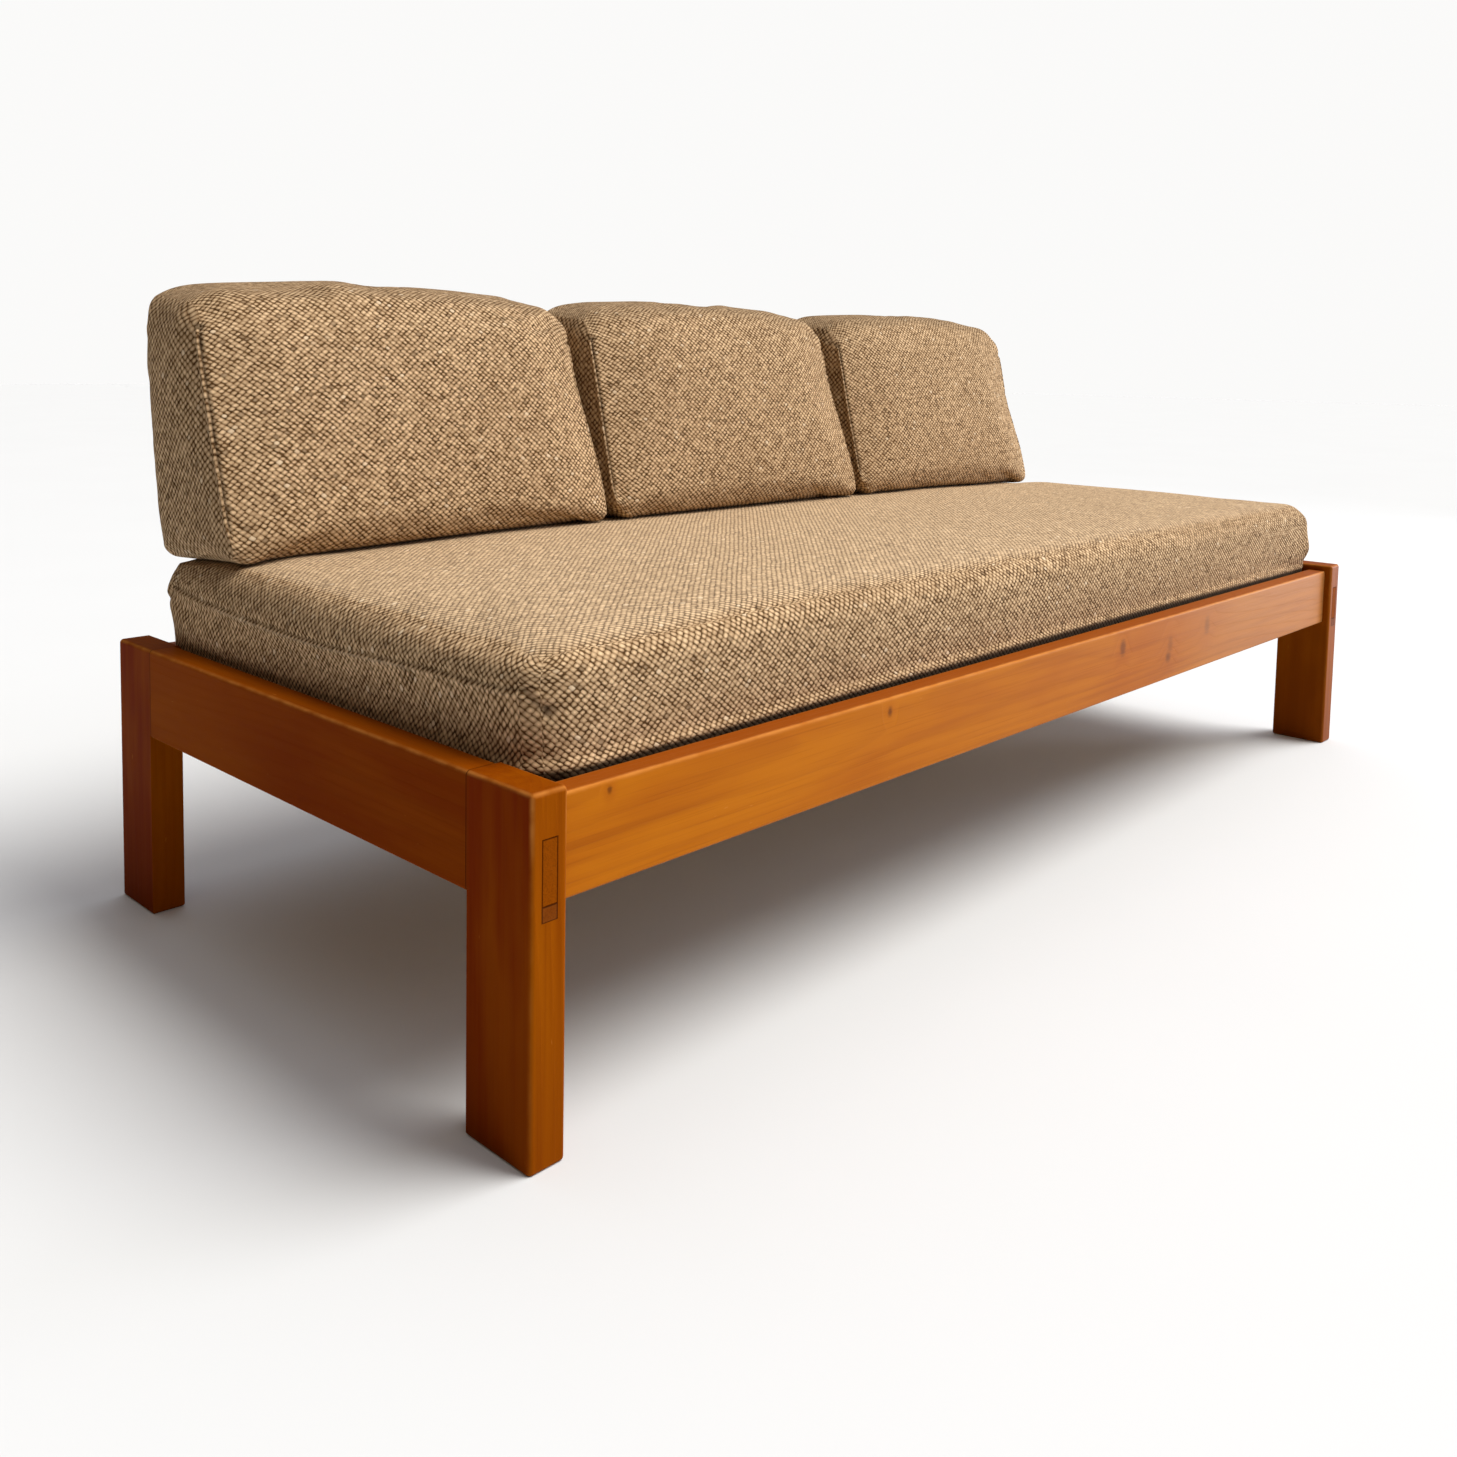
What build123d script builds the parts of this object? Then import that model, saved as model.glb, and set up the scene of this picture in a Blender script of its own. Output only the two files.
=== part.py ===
from build123d import *
import math
import os

# A wooden daybed: four plank legs, rails, slats, a thick mattress and three wedge back cushions.
# X runs along the bed, Y from the front to the back and Z up from the floor, in millimetres.

# Legs
FRAME_LENGTH = 2000.0
FRAME_DEPTH = 830.0
LEG_HEIGHT = 340.0
LEG_THICKNESS = 42.0
LEG_DEPTH = 90.0
EDGE_RADIUS = 5.0
FOOT_RADIUS = 3.5

# End rails, flush with the legs, and their wedged through tenons
END_RAIL_HEIGHT = 112.0
END_RAIL_THICKNESS = 36.0
TENON_THICKNESS = 18.0
TENON_HEIGHT = 60.0
TENON_SHOULDER = 42.0
WEDGE_OUTER_HEIGHT = 14.0
WEDGE_INNER_HEIGHT = 6.0
WEDGE_END_GAP = 6.0
JOINERY_CLEARANCE = 0.2

# Side rails along the front and the back
SIDE_RAIL_HEIGHT = 98.0
SIDE_RAIL_THICKNESS = 30.0
SIDE_RAIL_SETBACK = 12.0
SIDE_RAIL_DROP = 11.0
SIDE_RAIL_RADIUS = 3.5

# Hook fittings between the side rails and the legs
PLATE_HEIGHT = 76.0
PLATE_WIDTH = 16.0
PLATE_THICKNESS = 3.0
PLATE_RECESS = 0.2
PLATE_CLEARANCE = 0.2
HOOK_COUNT = 2
HOOK_PITCH = 36.0
HOOK_TOP_MARGIN = 12.0
HOOK_THICKNESS = 3.0
HOOK_REACH = 9.0
HOOK_NECK = 6.0
HOOK_NOSE = 8.0
HOOK_CLEARANCE = 0.4
HOOK_LIFT_ROOM = 9.0
HOOK_SCREW_DROP = 20.0

# Slatted base
SLAT_COUNT = 14
SLAT_WIDTH = 70.0
SLAT_THICKNESS = 18.0
SLAT_RADIUS = 2.5
SLAT_END_GAP = 25.0
SLAT_SIDE_GAP = 2.0
LEDGER_SIZE = 30.0
LEDGER_END_GAP = 1.0
LEDGER_RADIUS = 2.0
LEDGER_SCREW_STEP = 3

# Countersunk wood screws
SCREW_DIAMETER = 4.0
SCREW_HEAD_DIAMETER = 7.0
SCREW_POINT = 5.0
SCREW_CLEARANCE = 0.1
SCREW_SINK = 0.2
SCREW_SLOT_LENGTH = 3.6
SCREW_SLOT_WIDTH = 0.9
SCREW_SLOT_DEPTH = 1.2
SLAT_SCREW_LENGTH = 40.0
LEDGER_SCREW_LENGTH = 48.0
HOOK_SCREW_LENGTH = 30.0
CATCH_SCREW_LENGTH = 10.0

# Covers and foam
COVER_THICKNESS = 2.5
FOAM_CLEARANCE = 0.3
SEAT_CLEARANCE = 0.3
ROLL_STEPS = 4
SPAN_STEPS = 8

# Mattress
MATTRESS_SINK = 24.0
MATTRESS_EDGE_HEIGHT = 150.0
MATTRESS_TOP_CROWN = 8.0
MATTRESS_FRONT_CROWN = 4.0
MATTRESS_GAP = 3.0
MATTRESS_CORNER_RADIUS = 28.0
MATTRESS_ROLL = 22.0

# Back cushions
CUSHION_NAMES = ("left", "middle", "right")
CUSHION_GAP = 2.0
CUSHION_ROW_INSET = 2.0
CUSHION_BACK_INSET = 6.0
CUSHION_BASE_DEPTH = 202.0
CUSHION_TOP_DEPTH = 116.0
CUSHION_END_HEIGHT = 322.0
CUSHION_CROWN_HEIGHT = 350.0
CUSHION_TOP_FALL = 10.0
CUSHION_FRONT_CROWN = 12.0
CUSHION_TOP_CROWN = 6.0
CUSHION_END_CROWN_SHARE = 0.2
CUSHION_TOP_FRONT_RADIUS = 40.0
CUSHION_EDGE_RADIUS = 20.0
CUSHION_ROLL = 14.0

# Zips on the backs of the covers
ZIP_WIDTH = 22.0
ZIP_TAPE_THICKNESS = 1.0
ZIP_TEETH_WIDTH = 5.0
ZIP_TEETH_HEIGHT = 1.4
ZIP_CLEARANCE = 0.3
ZIP_END_MARGIN = 30.0
ZIP_STOP_LENGTH = 3.0
ZIP_STOP_HEIGHT = 2.4
CUSHION_ZIP_RISE = 60.0
MATTRESS_ZIP_RISE = 84.0
SLIDER_LENGTH = 11.0
SLIDER_WIDTH = 10.0
SLIDER_ROOF = 1.2
TAB_LENGTH = 24.0
TAB_WIDTH = 5.0
TAB_THICKNESS = 1.0

# Places worked out from the sizes above
END_X = FRAME_LENGTH / 2
FRONT_Y = FRAME_DEPTH / 2
LEG_INNER_X = END_X - LEG_THICKNESS
LEG_INNER_Y = FRONT_Y - LEG_DEPTH
LEG_CENTRE_X = END_X - LEG_THICKNESS / 2
TENON_TOP_Z = LEG_HEIGHT - TENON_SHOULDER
TENON_BOTTOM_Z = TENON_TOP_Z - TENON_HEIGHT
SIDE_RAIL_TOP_Z = LEG_HEIGHT - SIDE_RAIL_DROP
SIDE_RAIL_MID_Z = SIDE_RAIL_TOP_Z - SIDE_RAIL_HEIGHT / 2
SIDE_RAIL_OUTER_Y = FRONT_Y - SIDE_RAIL_SETBACK
SIDE_RAIL_INNER_Y = SIDE_RAIL_OUTER_Y - SIDE_RAIL_THICKNESS
SIDE_RAIL_MID_Y = SIDE_RAIL_OUTER_Y - SIDE_RAIL_THICKNESS / 2
PLATE_TOP_Z = SIDE_RAIL_MID_Z + PLATE_HEIGHT / 2
HOOK_TOPS = [PLATE_TOP_Z - HOOK_TOP_MARGIN - i * HOOK_PITCH for i in range(HOOK_COUNT)]
SLOT_WIDTH = HOOK_THICKNESS + 2 * HOOK_CLEARANCE
SLAT_TOP_Z = SIDE_RAIL_TOP_Z - MATTRESS_SINK
SLAT_BOTTOM_Z = SLAT_TOP_Z - SLAT_THICKNESS
LEDGER_MID_Z = SLAT_BOTTOM_Z - LEDGER_SIZE / 2
LEDGER_INNER_Y = SIDE_RAIL_INNER_Y - LEDGER_SIZE
LEDGER_MID_Y = SIDE_RAIL_INNER_Y - LEDGER_SIZE / 2
SLAT_PITCH = (2 * (LEG_INNER_X - SLAT_END_GAP) - SLAT_WIDTH) / (SLAT_COUNT - 1)
SLAT_CENTRES = [SLAT_END_GAP - LEG_INNER_X + SLAT_WIDTH / 2 + i * SLAT_PITCH for i in range(SLAT_COUNT)]
MATTRESS_HALF_LENGTH = LEG_INNER_X - MATTRESS_GAP
MATTRESS_BACK_Y = SIDE_RAIL_INNER_Y - MATTRESS_GAP
MATTRESS_FRONT_Y = MATTRESS_FRONT_CROWN - MATTRESS_BACK_Y
MATTRESS_BOTTOM_Z = SLAT_TOP_Z + SEAT_CLEARANCE
MATTRESS_EDGE_Z = MATTRESS_BOTTOM_Z + MATTRESS_EDGE_HEIGHT
CUSHION_BACK_Y = FRONT_Y - CUSHION_BACK_INSET
CUSHION_WIDTH = (
    2 * (MATTRESS_HALF_LENGTH - CUSHION_ROW_INSET) - (len(CUSHION_NAMES) - 1) * CUSHION_GAP
) / len(CUSHION_NAMES)


def block(x, y, z):
    """A box between the low and high values given for each axis."""
    spans = (x, y, z)
    centre = [(low + high) / 2 for low, high in spans]
    return Pos(*centre) * Box(*[high - low for low, high in spans])


def around(centre, width):
    """The low and high values of a width about a centre."""
    return (centre - width / 2, centre + width / 2)


def side_prism(points, x):
    """A solid whose outline is given in Y and Z, between two values of X."""
    low, high = x
    outline = make_face(Polyline(*[(low, y, z) for y, z in points], close=True))
    return extrude(outline, amount=high - low, dir=(1, 0, 0))


def front_prism(points, y):
    """A solid whose outline is given in X and Z, between two values of Y."""
    low, high = y
    outline = make_face(Polyline(*[(x, low, z) for x, z in points], close=True))
    return extrude(outline, amount=high - low, dir=(0, 1, 0))


def save(part, name):
    export_step(part, f"parts/{name}.step")


def corner_copies(part):
    """The part of the front left corner, and its mirror images at the other three corners."""
    right = mirror(part, about=Plane.YZ)
    return {
        "front_left": part,
        "front_right": right,
        "back_left": mirror(part, about=Plane.XZ),
        "back_right": mirror(right, about=Plane.XZ),
    }


def wood_screw(length):
    """A countersunk screw with its head at the origin and its point down."""
    shank_radius = SCREW_DIAMETER / 2
    head_radius = SCREW_HEAD_DIAMETER / 2
    outline = Polyline(
        (0, 0, 0),
        (head_radius, 0, 0),
        (shank_radius, 0, shank_radius - head_radius),
        (shank_radius, 0, SCREW_POINT - length),
        (0, 0, -length),
        close=True,
    )
    screw = revolve(make_face(outline), Axis.Z)
    slot_depth = (-SCREW_SLOT_DEPTH, SCREW_SLOT_DEPTH)
    long_slot = around(0, SCREW_SLOT_LENGTH)
    narrow_slot = around(0, SCREW_SLOT_WIDTH)
    screw -= block(long_slot, narrow_slot, slot_depth)
    screw -= block(narrow_slot, long_slot, slot_depth)
    return screw


def screw_hole(length):
    """The countersunk hole for a screw whose head is sunk below the surface at the origin."""
    hole_radius = SCREW_DIAMETER / 2 + SCREW_CLEARANCE
    head_radius = SCREW_HEAD_DIAMETER / 2 + SCREW_CLEARANCE
    depth = length + SCREW_SINK + SCREW_CLEARANCE
    outline = Polyline(
        (0, 0, SCREW_SINK),
        (head_radius, 0, SCREW_SINK),
        (head_radius, 0, -SCREW_SINK),
        (hole_radius, 0, hole_radius - head_radius - SCREW_SINK),
        (hole_radius, 0, -depth),
        (0, 0, -depth),
        close=True,
    )
    return revolve(make_face(outline), Axis.Z)


def placed(part, places):
    return [place * part for place in places]


def screws_at(places, length):
    """Screws at places whose local Z points out of the surface."""
    return Compound(children=placed(Pos(0, 0, -SCREW_SINK) * wood_screw(length), places))


def slat_screw_places():
    return [Pos(x, side * LEDGER_MID_Y, SLAT_TOP_Z) for x in SLAT_CENTRES for side in (-1, 1)]


def ledger_screw_places(side):
    """Places on the inner face of a ledger, in every third gap between the slats."""
    gaps = [SLAT_CENTRES[i] + SLAT_PITCH / 2 for i in range(0, SLAT_COUNT - 1, LEDGER_SCREW_STEP)]
    return [Pos(x, side * LEDGER_INNER_Y, LEDGER_MID_Z) * Rot(X=90 * side) for x in gaps]


def plate_screw_places(x, turn):
    return [Pos(x, -SIDE_RAIL_MID_Y, z - HOOK_SCREW_DROP) * turn for z in HOOK_TOPS]


def hook_screw_places():
    return plate_screw_places(PLATE_RECESS - LEG_INNER_X, Rot(Y=-90))


def catch_screw_places():
    return plate_screw_places(-LEG_INNER_X - PLATE_RECESS, Rot(Y=90))


def plate_blank(x, clearance):
    """The outline of a fitting's plate between two values of X."""
    y = around(-SIDE_RAIL_MID_Y, PLATE_WIDTH + 2 * clearance)
    z = around(SIDE_RAIL_MID_Z, PLATE_HEIGHT + 2 * clearance)
    return block(x, y, z)


def hook_plate():
    """The plate let into the end of a side rail, with hooks that drop behind the catch plate."""
    face_x = PLATE_RECESS - LEG_INNER_X
    nose_x = -LEG_INNER_X - PLATE_RECESS - PLATE_THICKNESS - HOOK_CLEARANCE
    tip_x = -LEG_INNER_X - HOOK_REACH
    plate = plate_blank((face_x, face_x + PLATE_THICKNESS), 0)
    for top in HOOK_TOPS:
        throat = top - HOOK_NECK
        points = [
            (face_x, top),
            (tip_x, top),
            (tip_x, throat - HOOK_NOSE),
            (nose_x, throat - HOOK_NOSE),
            (nose_x, throat),
            (face_x, throat),
        ]
        plate += front_prism(points, around(-SIDE_RAIL_MID_Y, HOOK_THICKNESS))
    for hole in placed(screw_hole(HOOK_SCREW_LENGTH), hook_screw_places()):
        plate -= hole
    return plate


def catch_plate():
    """The slotted plate let into the inner face of a leg."""
    face_x = -LEG_INNER_X - PLATE_RECESS
    plate_x = (face_x - PLATE_THICKNESS, face_x)
    slot_y = around(-SIDE_RAIL_MID_Y, SLOT_WIDTH)
    plate = plate_blank(plate_x, 0)
    for top in HOOK_TOPS:
        slot_z = (top - HOOK_NECK - PLATE_CLEARANCE, top + HOOK_LIFT_ROOM)
        plate -= block(plate_x, slot_y, slot_z)
    for hole in placed(screw_hole(CATCH_SCREW_LENGTH), catch_screw_places()):
        plate -= hole
    return plate


def mortise():
    """The through mortise of a leg: as high as the tenon inside, flared for the wedge outside."""
    bottom = TENON_BOTTOM_Z - JOINERY_CLEARANCE
    points = [
        (-FRONT_Y, TENON_TOP_Z + JOINERY_CLEARANCE),
        (-LEG_INNER_Y, TENON_TOP_Z + JOINERY_CLEARANCE),
        (-LEG_INNER_Y, bottom - WEDGE_INNER_HEIGHT),
        (-FRONT_Y, bottom - WEDGE_OUTER_HEIGHT),
    ]
    return side_prism(points, around(-LEG_CENTRE_X, TENON_THICKNESS + 2 * JOINERY_CLEARANCE))


def tenon_wedge():
    """The wedge that is driven in under a tenon from the outside of the leg."""
    inner_y = -LEG_INNER_Y - WEDGE_END_GAP
    slope = (WEDGE_OUTER_HEIGHT - WEDGE_INNER_HEIGHT) / LEG_DEPTH
    top = TENON_BOTTOM_Z - JOINERY_CLEARANCE
    inner_height = WEDGE_INNER_HEIGHT + slope * WEDGE_END_GAP
    points = [
        (-FRONT_Y, top),
        (inner_y, top),
        (inner_y, top - inner_height + JOINERY_CLEARANCE),
        (-FRONT_Y, top - WEDGE_OUTER_HEIGHT + JOINERY_CLEARANCE),
    ]
    return side_prism(points, around(-LEG_CENTRE_X, TENON_THICKNESS))


def leg():
    """The front left leg, with its mortise and the pockets of its catch plate."""
    body = block((-END_X, -LEG_INNER_X), (-FRONT_Y, -LEG_INNER_Y), (0, LEG_HEIGHT))
    outer = body.edges().filter_by(Axis.Z).group_by(Axis.Y)[0]
    body = fillet(outer, EDGE_RADIUS)
    body = fillet(body.faces().sort_by(Axis.Z)[0].edges(), FOOT_RADIUS)
    rim = body.faces().sort_by(Axis.Z)[-1].edges()
    joint_edge = rim.sort_by(Axis.Y)[-1]
    body = fillet([edge for edge in rim if edge != joint_edge], EDGE_RADIUS)
    body -= mortise()
    face_x = -LEG_INNER_X
    pocket_depth = PLATE_RECESS + PLATE_THICKNESS + PLATE_CLEARANCE
    body -= plate_blank((face_x - pocket_depth, face_x), PLATE_CLEARANCE)
    cavity_x = (face_x - HOOK_REACH - HOOK_CLEARANCE, face_x)
    for top in HOOK_TOPS:
        cavity_z = (top - HOOK_NECK - HOOK_NOSE - HOOK_CLEARANCE, top + HOOK_LIFT_ROOM)
        body -= block(cavity_x, around(-SIDE_RAIL_MID_Y, SLOT_WIDTH), cavity_z)
    for hole in placed(screw_hole(CATCH_SCREW_LENGTH), catch_screw_places()):
        body -= hole
    return body


def end_rail():
    """The left end rail with a tenon through each leg."""
    inner_x = END_RAIL_THICKNESS - END_X
    z = (LEG_HEIGHT - END_RAIL_HEIGHT, LEG_HEIGHT)
    body = block((-END_X, inner_x), (-LEG_INNER_Y, LEG_INNER_Y), z)
    body = fillet(body.edges().filter_by(Axis.Y), EDGE_RADIUS)
    tenon_x = around(-LEG_CENTRE_X, TENON_THICKNESS)
    body += block(tenon_x, (-FRONT_Y, FRONT_Y), (TENON_BOTTOM_Z, TENON_TOP_Z))
    return body


def side_rail():
    """The front rail, with pockets for the hook plates in its ends."""
    y = (-SIDE_RAIL_OUTER_Y, -SIDE_RAIL_INNER_Y)
    z = (SIDE_RAIL_TOP_Z - SIDE_RAIL_HEIGHT, SIDE_RAIL_TOP_Z)
    body = block((-LEG_INNER_X, LEG_INNER_X), y, z)
    body = fillet(body.edges().filter_by(Axis.X), SIDE_RAIL_RADIUS)
    pocket_depth = PLATE_RECESS + PLATE_THICKNESS + PLATE_CLEARANCE
    pocket = plate_blank((-LEG_INNER_X, pocket_depth - LEG_INNER_X), PLATE_CLEARANCE)
    cuts = [pocket] + placed(screw_hole(HOOK_SCREW_LENGTH), hook_screw_places())
    for cut in cuts:
        body -= cut
        body -= mirror(cut, about=Plane.YZ)
    for hole in placed(screw_hole(LEDGER_SCREW_LENGTH), ledger_screw_places(-1)):
        body -= hole
    return body


def ledger():
    """The front ledger, drilled for its own screws and for those of the slats."""
    half_length = LEG_INNER_X - LEDGER_END_GAP
    y = (-SIDE_RAIL_INNER_Y, -LEDGER_INNER_Y)
    body = block((-half_length, half_length), y, around(LEDGER_MID_Z, LEDGER_SIZE))
    inner = body.edges().filter_by(Axis.X).group_by(Axis.Y)[-1]
    body = fillet(inner, LEDGER_RADIUS)
    for hole in placed(screw_hole(LEDGER_SCREW_LENGTH), ledger_screw_places(-1)):
        body -= hole
    for hole in placed(screw_hole(SLAT_SCREW_LENGTH), slat_screw_places()):
        body -= hole
    return body


def slat(x):
    """A slat across the two ledgers, centred at one place along the bed."""
    half_length = SIDE_RAIL_INNER_Y - SLAT_SIDE_GAP
    body = block(around(x, SLAT_WIDTH), (-half_length, half_length), (SLAT_BOTTOM_Z, SLAT_TOP_Z))
    body = fillet(body.edges().filter_by(Axis.Y), SLAT_RADIUS)
    for side in (-1, 1):
        body -= Pos(x, side * LEDGER_MID_Y, SLAT_TOP_Z) * screw_hole(SLAT_SCREW_LENGTH)
    return body


def roll_stations(half_length, roll):
    """Places along a padded piece with how far its outline is drawn in at each of them."""
    angles = [math.pi / 2 * i / ROLL_STEPS for i in range(ROLL_STEPS + 1)]
    end = [(half_length - roll * (1 - math.cos(a)), roll * (1 - math.sin(a))) for a in angles]
    span = 2 * (half_length - roll)
    middle = [(span / 2 - span * i / SPAN_STEPS, 0) for i in range(1, SPAN_STEPS)]
    return end + middle + [(-x, inset) for x, inset in reversed(end)]


def padded_solid(half_length, roll, profile, inset):
    """A soft solid along X with rolled ends, everywhere further in than its outline by an inset."""
    sections = []
    for x, drawn_in in roll_stations(half_length - inset, roll):
        section = profile(x / half_length)
        depth = drawn_in + inset
        if depth > 0:
            section = offset(section, amount=-depth)
        sections.append(Pos(x, 0, 0) * section)
    return loft(sections, ruled=True)


def crowned_edge(start, end, crown):
    """An arc in the YZ plane from one point to another that bulges to its right by a crown."""
    run_y = end[0] - start[0]
    run_z = end[1] - start[1]
    length = math.hypot(run_y, run_z)
    middle_y = (start[0] + end[0]) / 2 + crown * run_z / length
    middle_z = (start[1] + end[1]) / 2 - crown * run_y / length
    return ThreePointArc((0, *start), (0, middle_y, middle_z), (0, *end))


def straight_edge(start, end):
    return Line((0, *start), (0, *end))


def rounded_face(outline, radii):
    """The face inside an outline, with the radius given for each of its corners."""
    face = make_face(outline)
    for corner, radius in radii.items():
        face = fillet(face.vertices().sort_by_distance((0, *corner))[0], radius)
    return face


def mattress_profile(_):
    """The mattress across the bed: a crowned top and front, a flat bottom and back."""
    bottom_front = (MATTRESS_FRONT_Y, MATTRESS_BOTTOM_Z)
    bottom_back = (MATTRESS_BACK_Y, MATTRESS_BOTTOM_Z)
    top_back = (MATTRESS_BACK_Y, MATTRESS_EDGE_Z)
    top_front = (MATTRESS_FRONT_Y, MATTRESS_EDGE_Z)
    outline = [
        straight_edge(bottom_front, bottom_back),
        straight_edge(bottom_back, top_back),
        crowned_edge(top_back, top_front, MATTRESS_TOP_CROWN),
        crowned_edge(top_front, bottom_front, MATTRESS_FRONT_CROWN),
    ]
    corners = (bottom_front, bottom_back, top_back, top_front)
    return rounded_face(outline, {corner: MATTRESS_CORNER_RADIUS for corner in corners})


def mattress_top(y):
    """The height of the mattress's crowned top at a place across the bed."""
    half_chord = (MATTRESS_BACK_Y - MATTRESS_FRONT_Y) / 2
    centre_y = (MATTRESS_BACK_Y + MATTRESS_FRONT_Y) / 2
    radius = (half_chord**2 + MATTRESS_TOP_CROWN**2) / (2 * MATTRESS_TOP_CROWN)
    fall = radius - math.sqrt(radius**2 - (y - centre_y) ** 2)
    return MATTRESS_EDGE_Z + MATTRESS_TOP_CROWN - fall


CUSHION_SEAT_Z = mattress_top(CUSHION_BACK_Y - CUSHION_BASE_DEPTH) + SEAT_CLEARANCE


def cushion_profile(along):
    """A back cushion across the bed, fullest in the middle and lower towards its sides."""
    share = 1 - (1 - CUSHION_END_CROWN_SHARE) * along**4
    height = CUSHION_END_HEIGHT + (CUSHION_CROWN_HEIGHT - CUSHION_END_HEIGHT) * share
    top_z = CUSHION_SEAT_Z + height
    bottom_front = (CUSHION_BACK_Y - CUSHION_BASE_DEPTH, CUSHION_SEAT_Z)
    bottom_back = (CUSHION_BACK_Y, CUSHION_SEAT_Z)
    top_back = (CUSHION_BACK_Y, top_z)
    top_front = (CUSHION_BACK_Y - CUSHION_TOP_DEPTH, top_z - CUSHION_TOP_FALL)
    outline = [
        straight_edge(bottom_front, bottom_back),
        straight_edge(bottom_back, top_back),
        crowned_edge(top_back, top_front, CUSHION_TOP_CROWN * share),
        crowned_edge(top_front, bottom_front, CUSHION_FRONT_CROWN * share),
    ]
    radii = {corner: CUSHION_EDGE_RADIUS for corner in (bottom_front, bottom_back, top_back)}
    radii[top_front] = CUSHION_TOP_FRONT_RADIUS
    return rounded_face(outline, radii)


def cover_and_foam(half_length, roll, profile):
    """The hollow sewn cover and the foam core that fills it."""
    outside = padded_solid(half_length, roll, profile, 0)
    cavity = padded_solid(half_length, roll, profile, COVER_THICKNESS)
    foam = padded_solid(half_length, roll, profile, COVER_THICKNESS + FOAM_CLEARANCE)
    return outside - cavity, foam


def zip_chain(half_length, back_y, mid_z):
    """Zip tape with its row of teeth and a stop at each end, on the back of a cover."""
    tape_y = back_y + ZIP_CLEARANCE
    teeth_y = tape_y + ZIP_TAPE_THICKNESS
    chain = block((-half_length, half_length), (tape_y, teeth_y), around(mid_z, ZIP_WIDTH))
    teeth_z = around(mid_z, ZIP_TEETH_WIDTH)
    chain += block((-half_length, half_length), (tape_y, teeth_y + ZIP_TEETH_HEIGHT), teeth_z)
    stop_x = (half_length - ZIP_STOP_LENGTH, half_length)
    stop = block(stop_x, (tape_y, teeth_y + ZIP_STOP_HEIGHT), teeth_z)
    return chain + stop + mirror(stop, about=Plane.YZ)


def zip_slider(half_length, back_y, mid_z):
    """A slider that bridges the teeth at the closed end, with its pull tab hanging down."""
    foot_y = back_y + ZIP_CLEARANCE + ZIP_TAPE_THICKNESS + ZIP_CLEARANCE
    roof_y = foot_y + ZIP_TEETH_HEIGHT
    end_x = ZIP_STOP_LENGTH + ZIP_CLEARANCE - half_length
    x = (end_x, end_x + SLIDER_LENGTH)
    body = block(x, (foot_y, roof_y + SLIDER_ROOF), around(mid_z, SLIDER_WIDTH))
    body -= block(x, (foot_y, roof_y), around(mid_z, ZIP_TEETH_WIDTH + 2 * ZIP_CLEARANCE))
    tab_bottom = mid_z - SLIDER_WIDTH / 2 - TAB_LENGTH
    tab_z = (tab_bottom, mid_z - SLIDER_WIDTH / 2)
    body += block(around(end_x + SLIDER_LENGTH / 2, TAB_WIDTH), (foot_y, foot_y + TAB_THICKNESS), tab_z)
    return body


os.makedirs("parts", exist_ok=True)

# Wooden frame
for corner, part in corner_copies(leg()).items():
    save(part, f"leg_{corner}")
for corner, part in corner_copies(tenon_wedge()).items():
    save(part, f"tenon_wedge_{corner}")
left_end_rail = end_rail()
save(left_end_rail, "end_rail_left")
save(mirror(left_end_rail, about=Plane.YZ), "end_rail_right")
front_rail = side_rail()
save(front_rail, "side_rail_front")
save(mirror(front_rail, about=Plane.XZ), "side_rail_back")

# Hook fittings
for corner, part in corner_copies(hook_plate()).items():
    save(part, f"hook_plate_{corner}")
for corner, part in corner_copies(catch_plate()).items():
    save(part, f"catch_plate_{corner}")
for name, places, length in (
    ("hook_plate_screws", hook_screw_places(), HOOK_SCREW_LENGTH),
    ("catch_plate_screws", catch_screw_places(), CATCH_SCREW_LENGTH),
):
    copies = corner_copies(screws_at(places, length)).values()
    save(Compound(children=list(copies)), name)

# Slatted base
front_ledger = ledger()
save(front_ledger, "slat_ledger_front")
save(mirror(front_ledger, about=Plane.XZ), "slat_ledger_back")
for number, x in enumerate(SLAT_CENTRES, 1):
    save(slat(x), f"slat_{number:02d}")
save(screws_at(slat_screw_places(), SLAT_SCREW_LENGTH), "slat_screws")
save(screws_at(ledger_screw_places(-1) + ledger_screw_places(1), LEDGER_SCREW_LENGTH), "ledger_screws")

# Mattress
mattress_cover, mattress_foam = cover_and_foam(MATTRESS_HALF_LENGTH, MATTRESS_ROLL, mattress_profile)
save(mattress_cover, "mattress_cover")
save(mattress_foam, "mattress_foam")
mattress_zip_place = (
    MATTRESS_HALF_LENGTH - MATTRESS_ROLL - ZIP_END_MARGIN,
    MATTRESS_BACK_Y,
    MATTRESS_BOTTOM_Z + MATTRESS_ZIP_RISE,
)
save(zip_chain(*mattress_zip_place), "mattress_zip")
save(zip_slider(*mattress_zip_place), "mattress_zip_slider")

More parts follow.
